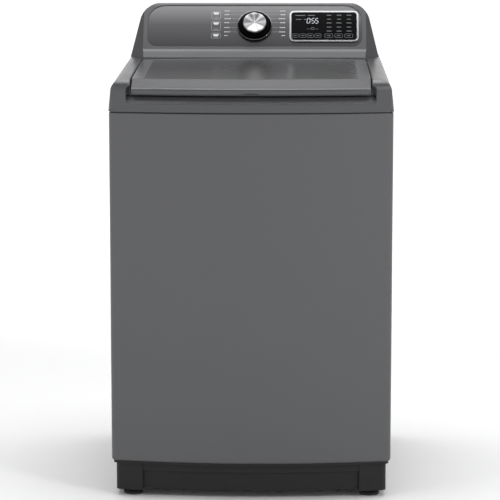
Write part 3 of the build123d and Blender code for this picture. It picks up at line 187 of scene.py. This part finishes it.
class Shade:
    """One procedural material: its nodes, its shader and short ways to wire them."""

    def __init__(self, name, colour, roughness, metallic=0.0, **sockets):
        self.material = bpy.data.materials.new(name)
        self.material.use_nodes = True
        self.nodes = self.material.node_tree.nodes
        self.links = self.material.node_tree.links
        self.shader = self.nodes["Principled BSDF"]
        self.colour = (*colour, 1.0)
        self.shader.inputs["Base Color"].default_value = self.colour
        self.shader.inputs["Roughness"].default_value = roughness
        self.shader.inputs["Metallic"].default_value = metallic
        for socket, value in sockets.items():
            self.shader.inputs[socket.replace("_", " ")].default_value = value
        self.roughness = roughness
        self.edges = None

    def place(self, stretch=(1.0, 1.0, 1.0)):
        """Object coordinates in metres, stretched along an axis for brushed grain."""
        source = self.nodes.new("ShaderNodeTexCoord")
        shift = self.nodes.new("ShaderNodeMapping")
        shift.inputs["Scale"].default_value = stretch
        self.links.new(source.outputs["Object"], shift.inputs["Vector"])
        return shift.outputs["Vector"]

    def noise(self, scale, detail=2.0, stretch=(1.0, 1.0, 1.0)):
        """Noise value over the object."""
        node = self.nodes.new("ShaderNodeTexNoise")
        node.inputs["Scale"].default_value = scale
        node.inputs["Detail"].default_value = detail
        self.links.new(self.place(stretch), node.inputs["Vector"])
        return node.outputs["Fac"]

    def spread(self, value, low, high):
        """A 0 to 1 value mapped between two limits."""
        node = self.nodes.new("ShaderNodeMapRange")
        node.inputs["From Min"].default_value = NOISE_LOW
        node.inputs["From Max"].default_value = NOISE_HIGH
        node.inputs["To Min"].default_value = low
        node.inputs["To Max"].default_value = high
        self.links.new(value, node.inputs["Value"])
        return node.outputs["Result"]

    def vary_colour(self, value, low, high):
        """Base colour made darker and lighter by a value, between two factors."""
        node = self.nodes.new("ShaderNodeMix")
        node.data_type = "RGBA"
        dark = [low * part for part in self.colour[:3]] + [1.0]
        light = [high * part for part in self.colour[:3]] + [1.0]
        node.inputs["A"].default_value = dark
        node.inputs["B"].default_value = light
        self.links.new(value, node.inputs["Factor"])
        self.links.new(node.outputs["Result"], self.shader.inputs["Base Color"])

    def vary_roughness(self, value, change):
        """Roughness moved up and down by a value."""
        result = self.spread(value, self.roughness - change, self.roughness + change)
        self.links.new(result, self.shader.inputs["Roughness"])

    def soft_edges(self, radius):
        """Shading of edges as if broken by a small radius."""
        node = self.nodes.new("ShaderNodeBevel")
        node.samples = BEVEL_SAMPLES
        node.inputs["Radius"].default_value = radius
        self.links.new(node.outputs["Normal"], self.shader.inputs["Normal"])
        self.edges = node

    def bump(self, value, height, distance):
        """Fine relief from a value."""
        node = self.nodes.new("ShaderNodeBump")
        if self.edges:
            self.links.new(self.edges.outputs["Normal"], node.inputs["Normal"])
        node.inputs["Strength"].default_value = height
        node.inputs["Distance"].default_value = distance
        self.links.new(value, node.inputs["Height"])
        self.links.new(node.outputs["Normal"], self.shader.inputs["Normal"])


def paint(name, colour, roughness=0.36, metallic=0.55):
    """Metallic paint: fine flake, slight orange peel."""
    shade = Shade(name, colour, roughness, metallic)
    shade.vary_colour(shade.noise(scale=2600.0, detail=1.0), low=0.90, high=1.12)
    shade.vary_roughness(shade.noise(scale=9.0, detail=3.0), change=0.03)
    shade.soft_edges(radius=0.0022)
    shade.bump(shade.noise(scale=420.0, detail=1.0), height=0.03, distance=0.0004)
    return shade.material


def moulded(name, colour, roughness, grain=0.25, specular=0.5):
    """Moulded plastic with a fine spark-eroded grain."""
    shade = Shade(name, colour, roughness, Specular_IOR_Level=specular)
    shade.vary_colour(shade.noise(scale=30.0, detail=3.0), low=0.94, high=1.06)
    shade.vary_roughness(shade.noise(scale=60.0), change=0.05)
    shade.soft_edges(radius=0.0012)
    shade.bump(shade.noise(scale=1500.0), height=grain, distance=0.0002)
    return shade.material


def brushed(name, colour, roughness=0.34, stretch=(1.0, 1.0, 14.0)):
    """Bare metal with drawn grain."""
    shade = Shade(name, colour, roughness, 1.0)
    grain = shade.noise(scale=260.0, detail=4.0, stretch=stretch)
    shade.vary_colour(grain, low=0.88, high=1.08)
    shade.vary_roughness(grain, change=0.08)
    shade.bump(grain, height=0.08, distance=0.0002)
    return shade.material


def zinc(name):
    """Zinc coated sheet with its faint spangle."""
    shade = Shade(name, (0.50, 0.51, 0.52), 0.42, 1.0)
    cells = shade.nodes.new("ShaderNodeTexVoronoi")
    cells.inputs["Scale"].default_value = 85.0
    shade.links.new(shade.place(), cells.inputs["Vector"])
    split = shade.nodes.new("ShaderNodeSeparateColor")
    shade.links.new(cells.outputs["Color"], split.inputs["Color"])
    shade.vary_colour(split.outputs["Red"], low=0.86, high=1.1)
    shade.vary_roughness(shade.noise(scale=40.0), change=0.06)
    return shade.material


def rubber(name):
    """Dull black rubber."""
    shade = Shade(name, (0.018, 0.018, 0.019), 0.78)
    shade.vary_colour(shade.noise(scale=80.0, detail=3.0), low=0.8, high=1.25)
    shade.bump(shade.noise(scale=900.0), height=0.3, distance=0.0003)
    return shade.material


def fascia_painted_shade_film(name, low_z, high_z):
    """Control panel film with painted shade darker towards its foot and painted light towards its head."""
    shade = Shade(name, (0.2, 0.2, 0.205), 0.33, 0.6)
    split = shade.nodes.new("ShaderNodeSeparateXYZ")
    shade.links.new(shade.place(), split.inputs[0])
    # painted shade and light: colour ramp by height over the film
    ramp = shade.nodes.new("ShaderNodeMapRange")
    ramp.inputs["From Min"].default_value = low_z
    ramp.inputs["From Max"].default_value = high_z
    shade.links.new(split.outputs["Z"], ramp.inputs["Value"])
    tone = shade.nodes.new("ShaderNodeValToRGB")
    stops = tone.color_ramp.elements
    stops[0].color = FASCIA_PAINTED_SHADE_FOOT
    stops[1].color = FASCIA_PAINTED_LIGHT_HEAD
    stops.new(FASCIA_PAINTED_SHADE_MIDDLE_AT).color = FASCIA_PAINTED_SHADE_MIDDLE
    shade.links.new(ramp.outputs["Result"], tone.inputs["Fac"])
    shade.links.new(tone.outputs["Color"], shade.shader.inputs["Base Color"])
    shade.vary_roughness(shade.noise(scale=300.0, detail=3.0, stretch=(0.05, 1.0, 1.0)), change=0.04)
    return shade.material


def smoked_glass(name):
    """Grey tinted toughened glass."""
    shade = Shade(name, (0.012, 0.0123, 0.013), 0.28, IOR=1.38, Transmission_Weight=0.2)
    shade.vary_roughness(shade.noise(scale=14.0), change=0.01)
    return shade.material


def black_glass(name):
    """Gloss black display glass with a faint smear."""
    shade = Shade(name, (0.0035, 0.0035, 0.004), 0.12, Specular_IOR_Level=0.04)
    shade.vary_roughness(shade.noise(scale=35.0, detail=3.0), change=0.03)
    return shade.material


def spun_chrome_painted_rays(name):
    """Turned bright metal: stretched highlights from the lamps, and painted highlight rays as a tone that changes
    round the cap.
    """
    shade = Shade(name, (0.74, 0.75, 0.76), 0.30, 1.0, Anisotropic=0.85)
    tangent = shade.nodes.new("ShaderNodeTangent")
    tangent.direction_type = "RADIAL"
    tangent.axis = "Z"
    shade.links.new(tangent.outputs["Tangent"], shade.shader.inputs["Tangent"])
    around = shade.nodes.new("ShaderNodeTexGradient")
    around.gradient_type = "RADIAL"
    shade.links.new(shade.place(), around.inputs["Vector"])
    tones = shade.nodes.new("ShaderNodeValToRGB")
    shade.links.new(around.outputs["Fac"], tones.inputs["Fac"])
    stops = tones.color_ramp.elements
    stops[0].color = stops[1].color = CAP_PAINTED_RAY_SEAM
    # each painted highlight ray, tinted a little blue
    for turn, tone in CAP_PAINTED_HIGHLIGHT_RAYS:
        stops.new(turn).color = (tone, tone, CAP_PAINTED_RAY_BLUE * tone, 1.0)
    shade.links.new(tones.outputs["Color"], shade.shader.inputs["Base Color"])
    shade.vary_roughness(shade.noise(scale=500.0), change=0.04)
    return shade.material


def chrome(name):
    """Polished plated trim."""
    shade = Shade(name, (0.36, 0.365, 0.37), 0.14, 1.0)
    shade.vary_roughness(shade.noise(scale=120.0), change=0.03)
    return shade.material


def ink(name, colour, roughness=0.5, glow=0.0):
    """Printed mark, or a lit segment when it glows."""
    shade = Shade(name, colour, roughness)
    shade.vary_colour(shade.noise(scale=700.0, detail=1.0), low=0.92, high=1.05)
    if glow:
        shade.shader.inputs["Emission Color"].default_value = (*colour, 1.0)
        shade.shader.inputs["Emission Strength"].default_value = glow
    return shade.material


def make_materials():
    """Every finish of the machine, by slot."""
    low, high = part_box("control_fascia")
    return {
        "graphite_paint": paint("graphite_paint", (0.096, 0.097, 0.100)),
        "cover_paint": paint("cover_paint", (0.080, 0.081, 0.084), 0.30),
        "console_shell": paint("console_shell", (0.054, 0.055, 0.058), 0.30),
        # control panel film whose colour carries painted shade at its foot and painted light at its head
        "fascia_silver": fascia_painted_shade_film("fascia_silver", low.z, high.z),
        "zinc_sheet": zinc("zinc_sheet"),
        "base_plastic": moulded("base_plastic", (0.016, 0.0162, 0.017), 0.5, specular=0.2),
        "black_plastic": moulded("black_plastic", (0.020, 0.020, 0.021), 0.5),
        "knob_black": moulded("knob_black", (0.0012, 0.0012, 0.0013), 0.3, 0.03, 0.02),
        "bright_chrome": chrome("bright_chrome"),
        "display_black": black_glass("display_black"),
        "smoked_glass": smoked_glass("smoked_glass"),
        "steel": brushed("steel", (0.52, 0.53, 0.54)),
        "stainless": brushed("stainless", (0.60, 0.60, 0.59), 0.26, (1.0, 1.0, 0.08)),
        "cast_alloy": brushed("cast_alloy", (0.55, 0.56, 0.57), 0.5, (1.0, 1.0, 1.0)),
        "tub_plastic": moulded("tub_plastic", (0.55, 0.56, 0.57), 0.5),
        "wash_plastic": moulded("wash_plastic", (0.42, 0.44, 0.46), 0.35, 0.08),
        "motor_paint": paint("motor_paint", (0.06, 0.06, 0.062), 0.45, 0.2),
        "pump_plastic": moulded("pump_plastic", (0.70, 0.70, 0.67), 0.5),
        "circuit_green": moulded("circuit_green", (0.015, 0.13, 0.055), 0.4),
        "rubber_black": rubber("rubber_black"),
    }


# ---- Mesh helpers -------------------------------------------------------

def add_piece(name, verts, faces, body, material):
    """New mesh piece that rides on a body."""
    mesh = bpy.data.meshes.new(name)
    mesh.from_pydata([tuple(v) for v in verts], [], faces)
    mesh.validate()
    mesh.materials.append(material)
    piece = bpy.data.objects.new(name, mesh)
    bpy.context.scene.collection.objects.link(piece)
    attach(piece, body)
    return piece


PRINT_THICKNESS = 0.06  # millimetres
CORNER_STEPS = 5  # edges in a quarter of a rounded corner
TURN_STEPS = 96  # edges round a turned shape
LEAST_CORNER = 0.01  # millimetres
CAD_SHARP_ANGLE = 30.0  # degrees
PIECE_SHARP_ANGLE = 35.0

KNOB_CENTRE = Vector(JOINTS["knob_turn"]["pos_m"])
FACE_NORMAL = Vector(JOINTS["knob_turn"]["axis"]).normalized()
FACE_RIGHT = Vector((1.0, 0.0, 0.0))
FACE_UP = FACE_NORMAL.cross(FACE_RIGHT)


def on_face(u, v, w):
    """Point on the control face, in millimetres right, up and out from the knob's centre."""
    return KNOB_CENTRE + (FACE_RIGHT * u + FACE_UP * v + FACE_NORMAL * w) * MM


class Print:
    """Thin printed shapes gathered into one mesh on the control face."""

    def __init__(self, depth):
        self.verts = []
        self.faces = []
        self.layers = (depth, depth + PRINT_THICKNESS)

    def outline(self, points):
        """One closed shape from (u, v) points, counter-clockwise."""
        start = len(self.verts)
        count = len(points)
        for w in self.layers:
            self.verts += [on_face(u, v, w) for u, v in points]
        self.faces.append([start + i for i in reversed(range(count))])
        self.faces.append([start + count + i for i in range(count)])
        for i in range(count):
            j = (i + 1) % count
            self.faces.append([start + i, start + j, start + count + j, start + count + i])

    def bar(self, u, v, width, height):
        """Rectangle about a middle point."""
        half_w, half_h = width / 2, height / 2
        self.outline([
            (u - half_w, v - half_h), (u + half_w, v - half_h),
            (u + half_w, v + half_h), (u - half_w, v + half_h),
        ])

    def frame(self, u, v, width, height, line, corner):
        """Hollow rounded rectangle about a middle point."""
        outer = rounded(u, v, width, height, corner)
        inner = rounded(u, v, width - 2 * line, height - 2 * line, max(corner - line, 0.0))
        start = len(self.verts)
        count = len(outer)
        for w in self.layers:
            self.verts += [on_face(a, b, w) for a, b in outer]
            self.verts += [on_face(a, b, w) for a, b in inner]
        low_out, low_in, high_out, high_in = [start + k * count for k in range(4)]
        for i in range(count):
            j = (i + 1) % count
            self.faces.append([high_out + i, high_out + j, high_in + j, high_in + i])
            self.faces.append([low_out + j, low_out + i, low_in + i, low_in + j])
            self.faces.append([low_out + i, low_out + j, high_out + j, high_out + i])
            self.faces.append([low_in + j, low_in + i, high_in + i, high_in + j])

    def add(self, name, material, slot):
        """Turn what was gathered into a piece of the cabinet."""
        add_piece(name, self.verts, self.faces, "cabinet", material)


def rounded(u, v, width, height, corner):
    """Points of a rounded rectangle about a middle point."""
    corner = min(max(corner, LEAST_CORNER), width / 2, height / 2)
    points = []
    for quarter, (i, j) in enumerate(((1, -1), (1, 1), (-1, 1), (-1, -1))):
        centre_u = u + i * (width / 2 - corner)
        centre_v = v + j * (height / 2 - corner)
        for step in range(CORNER_STEPS + 1):
            angle = (quarter - 1) * pi / 2 + step / CORNER_STEPS * pi / 2
            points.append((centre_u + corner * cos(angle), centre_v + corner * sin(angle)))
    return points


# ---- Control panel ------------------------------------------------------

# All lengths on the control face are in millimetres from the dial's centre, unless they say otherwise.
FASCIA_DEPTH = -1.5
GLASS_DEPTH = 0.6
DISPLAY_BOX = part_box("display_window")
DISPLAY_U = (DISPLAY_BOX[0].x + DISPLAY_BOX[1].x) / 2 / MM
SEGMENTS = {"0": "abcdef", "5": "afgcd"}
DIGIT_WIDTH = 0.46  # of its height, as is the line
DIGIT_LINE = 0.075
DIGIT_LEAN = tan(radians(7.0))


def digit(marks, character, u, v, height):
    """Thin slanted seven-segment digit with its lower left corner at (u, v)."""
    width = height * DIGIT_WIDTH
    line = height * DIGIT_LINE
    low, middle, high = v, v + height / 2, v + height
    ends = {
        "a": ((0.0, high), (width, high)), "g": ((0.0, middle), (width, middle)),
        "d": ((0.0, low), (width, low)), "b": ((width, middle), (width, high)),
        "c": ((width, low), (width, middle)), "f": ((0.0, middle), (0.0, high)),
        "e": ((0.0, low), (0.0, middle)),
    }
    for key in SEGMENTS[character]:
        (u0, v0), (u1, v1) = ends[key]
        u0, u1 = u + u0 + (v0 - v) * DIGIT_LEAN, u + u1 + (v1 - v) * DIGIT_LEAN
        if v0 == v1:
            marks.outline([
                (u0 + line, v0 - line / 2), (u1 - line, v0 - line / 2),
                (u1 - line, v0 + line / 2), (u0 + line, v0 + line / 2),
            ])
        else:
            marks.outline([
                (u0 - line / 2, v0 + line), (u0 + line / 2, v0 + line),
                (u1 + line / 2, v1 - line), (u1 - line / 2, v1 - line),
            ])


LEGEND_ROWS = (48.7, 37.1, 24.6, 12.1, -2.9, -16.4, -27.7)
LEGEND_LENGTHS = (15.0, 13.0, 18.0, 14.0, 15.0, 17.0, 10.0)
LEGEND_END = 80.0
LEGEND_HEIGHT = 2.1
LONG_LEGEND = 14.0  # a longer one has three words, not two
WORD_GAP = 1.3
LEADER_GAP = 2.0
LEADER_REACH = 46.5  # radius where the leader lines stop short of the dial
LEADER_NEAREST = 8.0
LAST_LEADER_ROW = -20.0
HAIRLINE = 0.5


def dial_legends(white, faint):
    """Programme marks either side of the dial, with thin leader lines that reach to it."""
    words_print = Print(FASCIA_DEPTH)
    lines = Print(FASCIA_DEPTH)
    for row, length in zip(LEGEND_ROWS, LEGEND_LENGTHS):
        to_dial = max(LEADER_REACH ** 2 - row ** 2, 0.0) ** 0.5
        words = 3 if length > LONG_LEGEND else 2
        for side in (-1, 1):
            step = -side * length / words
            for word in range(words):
                middle = side * LEGEND_END + step * (word + 0.5)
                words_print.bar(middle, row, abs(step) - WORD_GAP, LEGEND_HEIGHT)
            start = side * (LEGEND_END - length - LEADER_GAP)
            end = side * max(to_dial, LEADER_NEAREST)
            if row > LAST_LEADER_ROW:
                lines.bar((start + end) / 2, row, abs(start - end), HAIRLINE)
    words_print.add("dial_legends", white, "fascia_silver")
    lines.add("dial_leader_lines", faint, "fascia_silver")


ICONS = ((35.1, 25.5), (1.9, 29.0), (-28.0, 17.0))  # middle and height of each frame
ICON_U = -101.0
ICON_WIDTH, ICON_LINE, ICON_CORNER = 24.0, 0.8, 4.0
BASIN_DROP, BASIN_HEIGHT = 3.5, 7.0
BASIN_FOOT, BASIN_BRIM = 5.0, 8.2  # half widths
ICON_BAR_RISE, ICON_BAR_WIDTH, ICON_BAR_HEIGHT = 4.5, 11.0, 1.4


def programme_icons(white, faint):
    """Three outlined pictograms to the left of the dial."""
    basins = Print(FASCIA_DEPTH)
    outlines = Print(FASCIA_DEPTH)
    for v, height in ICONS:
        outlines.frame(ICON_U, v, ICON_WIDTH, height, ICON_LINE, ICON_CORNER)
        brim = v + height / 2 - BASIN_DROP
        foot = brim - BASIN_HEIGHT
        basins.outline([
            (ICON_U - BASIN_FOOT, foot), (ICON_U + BASIN_FOOT, foot),
            (ICON_U + BASIN_BRIM, brim), (ICON_U - BASIN_BRIM, brim),
        ])
        outlines.bar(ICON_U, v - height / 2 + ICON_BAR_RISE, ICON_BAR_WIDTH, ICON_BAR_HEIGHT)
    basins.add("programme_icons", white, "fascia_silver")
    outlines.add("programme_icon_frames", faint, "fascia_silver")


TIME_LEFT = -45.0  # from the middle of the display
TIME_FOOT, TIME_HEIGHT = 9.2, 15.4
TIME_DIGITS = (("0", 0.0), ("5", 12.0), ("5", 21.8))  # and where each starts
COLON_SHIFT, COLON_HEIGHTS, COLON_DOT = 10.6, (14.0, 20.0), 1.2

KEY_ROW, KEY_HEIGHT, KEY_LINE, KEY_CORNER = -29.3, 12.0, 0.6, 3.5
KEY_WORD_HEIGHT = 1.2
LEFT_KEYS, LEFT_KEY_START, LEFT_KEY_PITCH = 4, -75.5, 19.8
LEFT_KEY_WIDTH, LEFT_KEY_WORD = 17.0, 8.0
RIGHT_KEYS, RIGHT_KEY_START, RIGHT_KEY_PITCH = 3, 12.0, 26.0
RIGHT_KEY_WIDTH, RIGHT_KEY_WORD = 21.5, 10.0

OPTION_ROWS = (34.2, 21.7, 10.1, -2.7, -14.9)
OPTION_LENGTHS = (12.0, 10.0, 13.0, 11.0, 12.0)
OPTION_SHIFT = 1.0
WORD_HEIGHT = 1.5
STATUS_WORDS = (  # across, up and length
    (-62.0, 33.5, 26.0), (-66.0, 21.0, 14.0), (-48.0, 21.0, 9.0), (-33.0, 33.5, 18.0),
)

SIGN_SHIFT, SIGN_V = 15.0, -7.0
SIGN_WIDTH, SIGN_HEIGHT, SIGN_LINE, SIGN_CORNER = 8.0, 7.0, 0.7, 2.0
SIGN_RULE_REACH, SIGN_RULE_V, SIGN_RULE_LENGTH = 11.0, -8.5, 8.0


def display_marks(dim, lit):
    """Lit time and the printed keys on the display glass."""
    left = DISPLAY_U + TIME_LEFT
    time = Print(GLASS_DEPTH)
    for character, shift in TIME_DIGITS:
        digit(time, character, left + shift, TIME_FOOT, TIME_HEIGHT)
    for height in COLON_HEIGHTS:
        time.bar(left + COLON_SHIFT, height, COLON_DOT, COLON_DOT)
    time.add("display_digits", lit, "display_black")
    keys = Print(GLASS_DEPTH)
    for column in range(LEFT_KEYS):
        centre = DISPLAY_U + LEFT_KEY_START + LEFT_KEY_PITCH * column
        keys.frame(centre, KEY_ROW, LEFT_KEY_WIDTH, KEY_HEIGHT, KEY_LINE, KEY_CORNER)
        keys.bar(centre, KEY_ROW, LEFT_KEY_WORD, KEY_WORD_HEIGHT)
    for column in range(RIGHT_KEYS):
        centre = DISPLAY_U + RIGHT_KEY_START + RIGHT_KEY_PITCH * column
        keys.frame(centre, KEY_ROW, RIGHT_KEY_WIDTH, KEY_HEIGHT, KEY_LINE, KEY_CORNER)
        keys.bar(centre, KEY_ROW, RIGHT_KEY_WORD, KEY_WORD_HEIGHT)
        for row, length in zip(OPTION_ROWS, OPTION_LENGTHS):
            keys.bar(centre + OPTION_SHIFT, row, length, WORD_HEIGHT)
    for across, up, length in STATUS_WORDS:
        keys.bar(DISPLAY_U + across, up, length, WORD_HEIGHT)
    keys.frame(left + SIGN_SHIFT, SIGN_V, SIGN_WIDTH, SIGN_HEIGHT, SIGN_LINE, SIGN_CORNER)
    for side in (-1, 1):
        rule = left + SIGN_SHIFT + side * SIGN_RULE_REACH
        keys.bar(rule, SIGN_RULE_V, SIGN_RULE_LENGTH, HAIRLINE)
    keys.add("display_keys", dim, "display_black")


ON_AXIS = 1e-6  # metres; a smaller radius is a point on the axis


def turned_mesh(points):
    """Vertices and faces of a closed turned solid, from (radius, height) points on and off the axis."""
    verts, faces, rings = [], [], []
    for radius, height in points:
        if radius < ON_AXIS:
            rings.append([len(verts)])
            verts.append(Vector((0.0, 0.0, height)))
            continue
        rings.append(list(range(len(verts), len(verts) + TURN_STEPS)))
        for step in range(TURN_STEPS):
            angle = 2 * pi * step / TURN_STEPS
            verts.append(Vector((radius * cos(angle), radius * sin(angle), height)))
    for a, b in zip(rings, rings[1:]):
        for i in range(TURN_STEPS):
            j = (i + 1) % TURN_STEPS
            if len(a) == 1:
                faces.append([a[0], b[i], b[j]])
            elif len(b) == 1:
                faces.append([a[j], a[i], b[0]])
            else:
                faces.append([a[j], a[i], b[i], b[j]])
    return verts, faces


def face_matrix():
    """Placement with local Z out of the control face at the knob's centre."""
    axes = Matrix((FACE_RIGHT, FACE_UP, FACE_NORMAL)).transposed().to_4x4()
    return Matrix.Translation(KNOB_CENTRE) @ axes


def smooth(piece, angle=PIECE_SHARP_ANGLE):
    """Smooth shading with sharp edges kept."""
    piece.data.shade_smooth()
    piece.data.set_sharp_from_angle(angle=radians(angle))


# radius and height above the dial's centre, in millimetres
CAP_PROFILE = (
    (0.0, 10.6), (30.6, 10.6), (31.0, 11.2), (30.6, 17.6), (30.3, 18.8), (29.6, 19.6),
    (28.6, 20.0), (27.2, 20.0), (20.0, 19.4), (10.0, 18.9), (0.0, 18.6),
)
RIM_SECTION = ((43.7, 3.8), (44.6, 3.8), (44.8, 4.3), (44.5, 4.9), (44.0, 5.1), (43.7, 4.8))


def dial(bright, spun):
    """Spun cap and bright rim ring of the dial."""
    # the cap's material carries painted highlight rays round the cap
    verts, faces = turned_mesh([(radius * MM, height * MM) for radius, height in CAP_PROFILE])
    cap = add_piece("spun_cap", verts, faces, "knob", spun)
    cap.matrix_world = face_matrix()
    smooth(cap)
    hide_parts("knob_cap")
    verts, faces = torus_mesh([(radius * MM, height * MM) for radius, height in RIM_SECTION])
    rim = add_piece("dial_rim", verts, faces, "knob", bright)
    rim.matrix_world = face_matrix()
    smooth(rim)


def torus_mesh(section):
    """Closed ring with the given (radius, height) section."""
    verts, faces = [], []
    count = len(section)
    for step in range(TURN_STEPS):
        angle = 2 * pi * step / TURN_STEPS
        for radius, height in section:
            verts.append(Vector((radius * cos(angle), radius * sin(angle), height)))
    for step in range(TURN_STEPS):
        here, there = step * count, (step + 1) % TURN_STEPS * count
        for i in range(count):
            j = (i + 1) % count
            faces.append([here + j, here + i, there + i, there + j])
    return verts, faces


# ---- Wash basket --------------------------------------------------------

BASKET_HOLES = 72  # round the wall
BASKET_ROWS = 20
BASKET_HOLE_RADIUS = 0.0028
BASKET_WALL = 0.0016
BASKET_CONE = 0.030
# Points round one cell, in half pitches from its middle; its hole has as many sides.
CELL = ((1, 0), (1, 1), (0, 1), (-1, 1), (-1, 0), (-1, -1), (0, -1), (1, -1))
HOLE_SIDES = len(CELL)
CELL_TOP_EDGES = (1, 2)  # where an edge starts in CELL
CELL_FOOT_EDGES = (5, 6)
WELD_DISTANCE = 1e-6


def perforated_wall(centre, radius, low, high):
    """Drilled cylinder wall: a grid of cells, each with one hole through it."""
    verts, faces = [], []
    step = 2 * pi / BASKET_HOLES
    pitch = (high - low) / BASKET_ROWS

    def put(angle, height, at):
        verts.append(centre + Vector((at * cos(angle), at * sin(angle), height)))

    for column in range(BASKET_HOLES):
        for row in range(BASKET_ROWS):
            middle = (column + 0.5) * step
            height = low + (row + 0.5) * pitch
            start = len(verts)
            outer, outer_hole, inner, inner_hole = [start + k * HOLE_SIDES for k in range(4)]
            for at in (radius, radius - BASKET_WALL):
                for i, j in CELL:
                    put(middle + i * step / 2, height + j * pitch / 2, at)
                for side in range(HOLE_SIDES):
                    turn = side * 2 * pi / HOLE_SIDES
                    across = BASKET_HOLE_RADIUS * cos(turn) / radius
                    put(middle + across, height + BASKET_HOLE_RADIUS * sin(turn), at)
            for k in range(HOLE_SIDES):
                n = (k + 1) % HOLE_SIDES
                faces.append([outer + k, outer + n, outer_hole + n, outer_hole + k])
                faces.append([inner + n, inner + k, inner_hole + k, inner_hole + n])
                faces.append([outer_hole + k, outer_hole + n, inner_hole + n, inner_hole + k])
            if row == 0:
                for k in CELL_FOOT_EDGES:
                    faces.append([outer + k, inner + k, inner + k + 1, outer + k + 1])
            if row == BASKET_ROWS - 1:
                for k in CELL_TOP_EDGES:
                    faces.append([outer + k, inner + k, inner + k + 1, outer + k + 1])
    return verts, faces


def wash_basket(stainless):
    """Perforated steel basket wall on its dished floor."""
    low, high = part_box("basket")
    centre = Vector(((low.x + high.x) / 2, (low.y + high.y) / 2, 0.0))
    radius = (high.x - low.x) / 2
    shoulder = low.z + BASKET_CONE
    verts, faces = perforated_wall(centre, radius, shoulder, high.z)
    shaft_low, shaft_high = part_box("spin_shaft")
    hole = (shaft_high.x - shaft_low.x) / 2
    section = [
        (hole, low.z), (radius - BASKET_CONE, low.z), (radius, shoulder),
        (radius - BASKET_WALL, shoulder),
        (radius - BASKET_CONE - BASKET_WALL / 2, low.z + BASKET_WALL), (hole, low.z + BASKET_WALL),
    ]
    floor_verts, floor_faces = torus_mesh(section)
    start = len(verts)
    verts += [centre + vert for vert in floor_verts]
    faces += [[start + i for i in face] for face in floor_faces]
    piece = add_piece("wash_basket", verts, faces, "basket", stainless)
    weld(piece)
    smooth(piece)
    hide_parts("basket")


def weld(piece):
    """Join the cells' shared corners."""
    mesh = bmesh.new()
    mesh.from_mesh(piece.data)
    bmesh.ops.remove_doubles(mesh, verts=mesh.verts, dist=WELD_DISTANCE)
    mesh.to_mesh(piece.data)
    mesh.free()


# ---- Making the scene ---------------------------------------------------

def finish_cad_nodes(materials):
    """Give every CAD node its finish and smooth shading."""
    for part in frame["record"]["subparts"]:
        node = NODES[part["node"]]
        node.data.materials.clear()
        node.data.materials.append(materials[part["material_slot"]])
        smooth(node, CAD_SHARP_ANGLE)


def main():
    """Build everything round the frame."""
    scene = bpy.context.scene
    scene.view_settings.view_transform = "Standard"
    make_camera()
    make_world()
    for name, at, size, power in LIGHTS:
        soft_box(name, at, size, power)
    make_stage()
    materials = make_materials()
    finish_cad_nodes(materials)
    white = ink("legend_white", (0.50, 0.51, 0.52))
    faint = ink("legend_grey", (0.27, 0.275, 0.28))
    dim = ink("key_grey", (0.16, 0.163, 0.168), 0.4)
    lit = ink("digit_white", (0.62, 0.66, 0.70), 0.4, 0.35)
    # cap material whose colour carries painted highlight rays
    spun = spun_chrome_painted_rays("spun_chrome_painted_rays")
    dial_legends(white, faint)
    programme_icons(white, faint)
    display_marks(dim, lit)
    dial(materials["bright_chrome"], spun)
    wash_basket(materials["stainless"])


main()
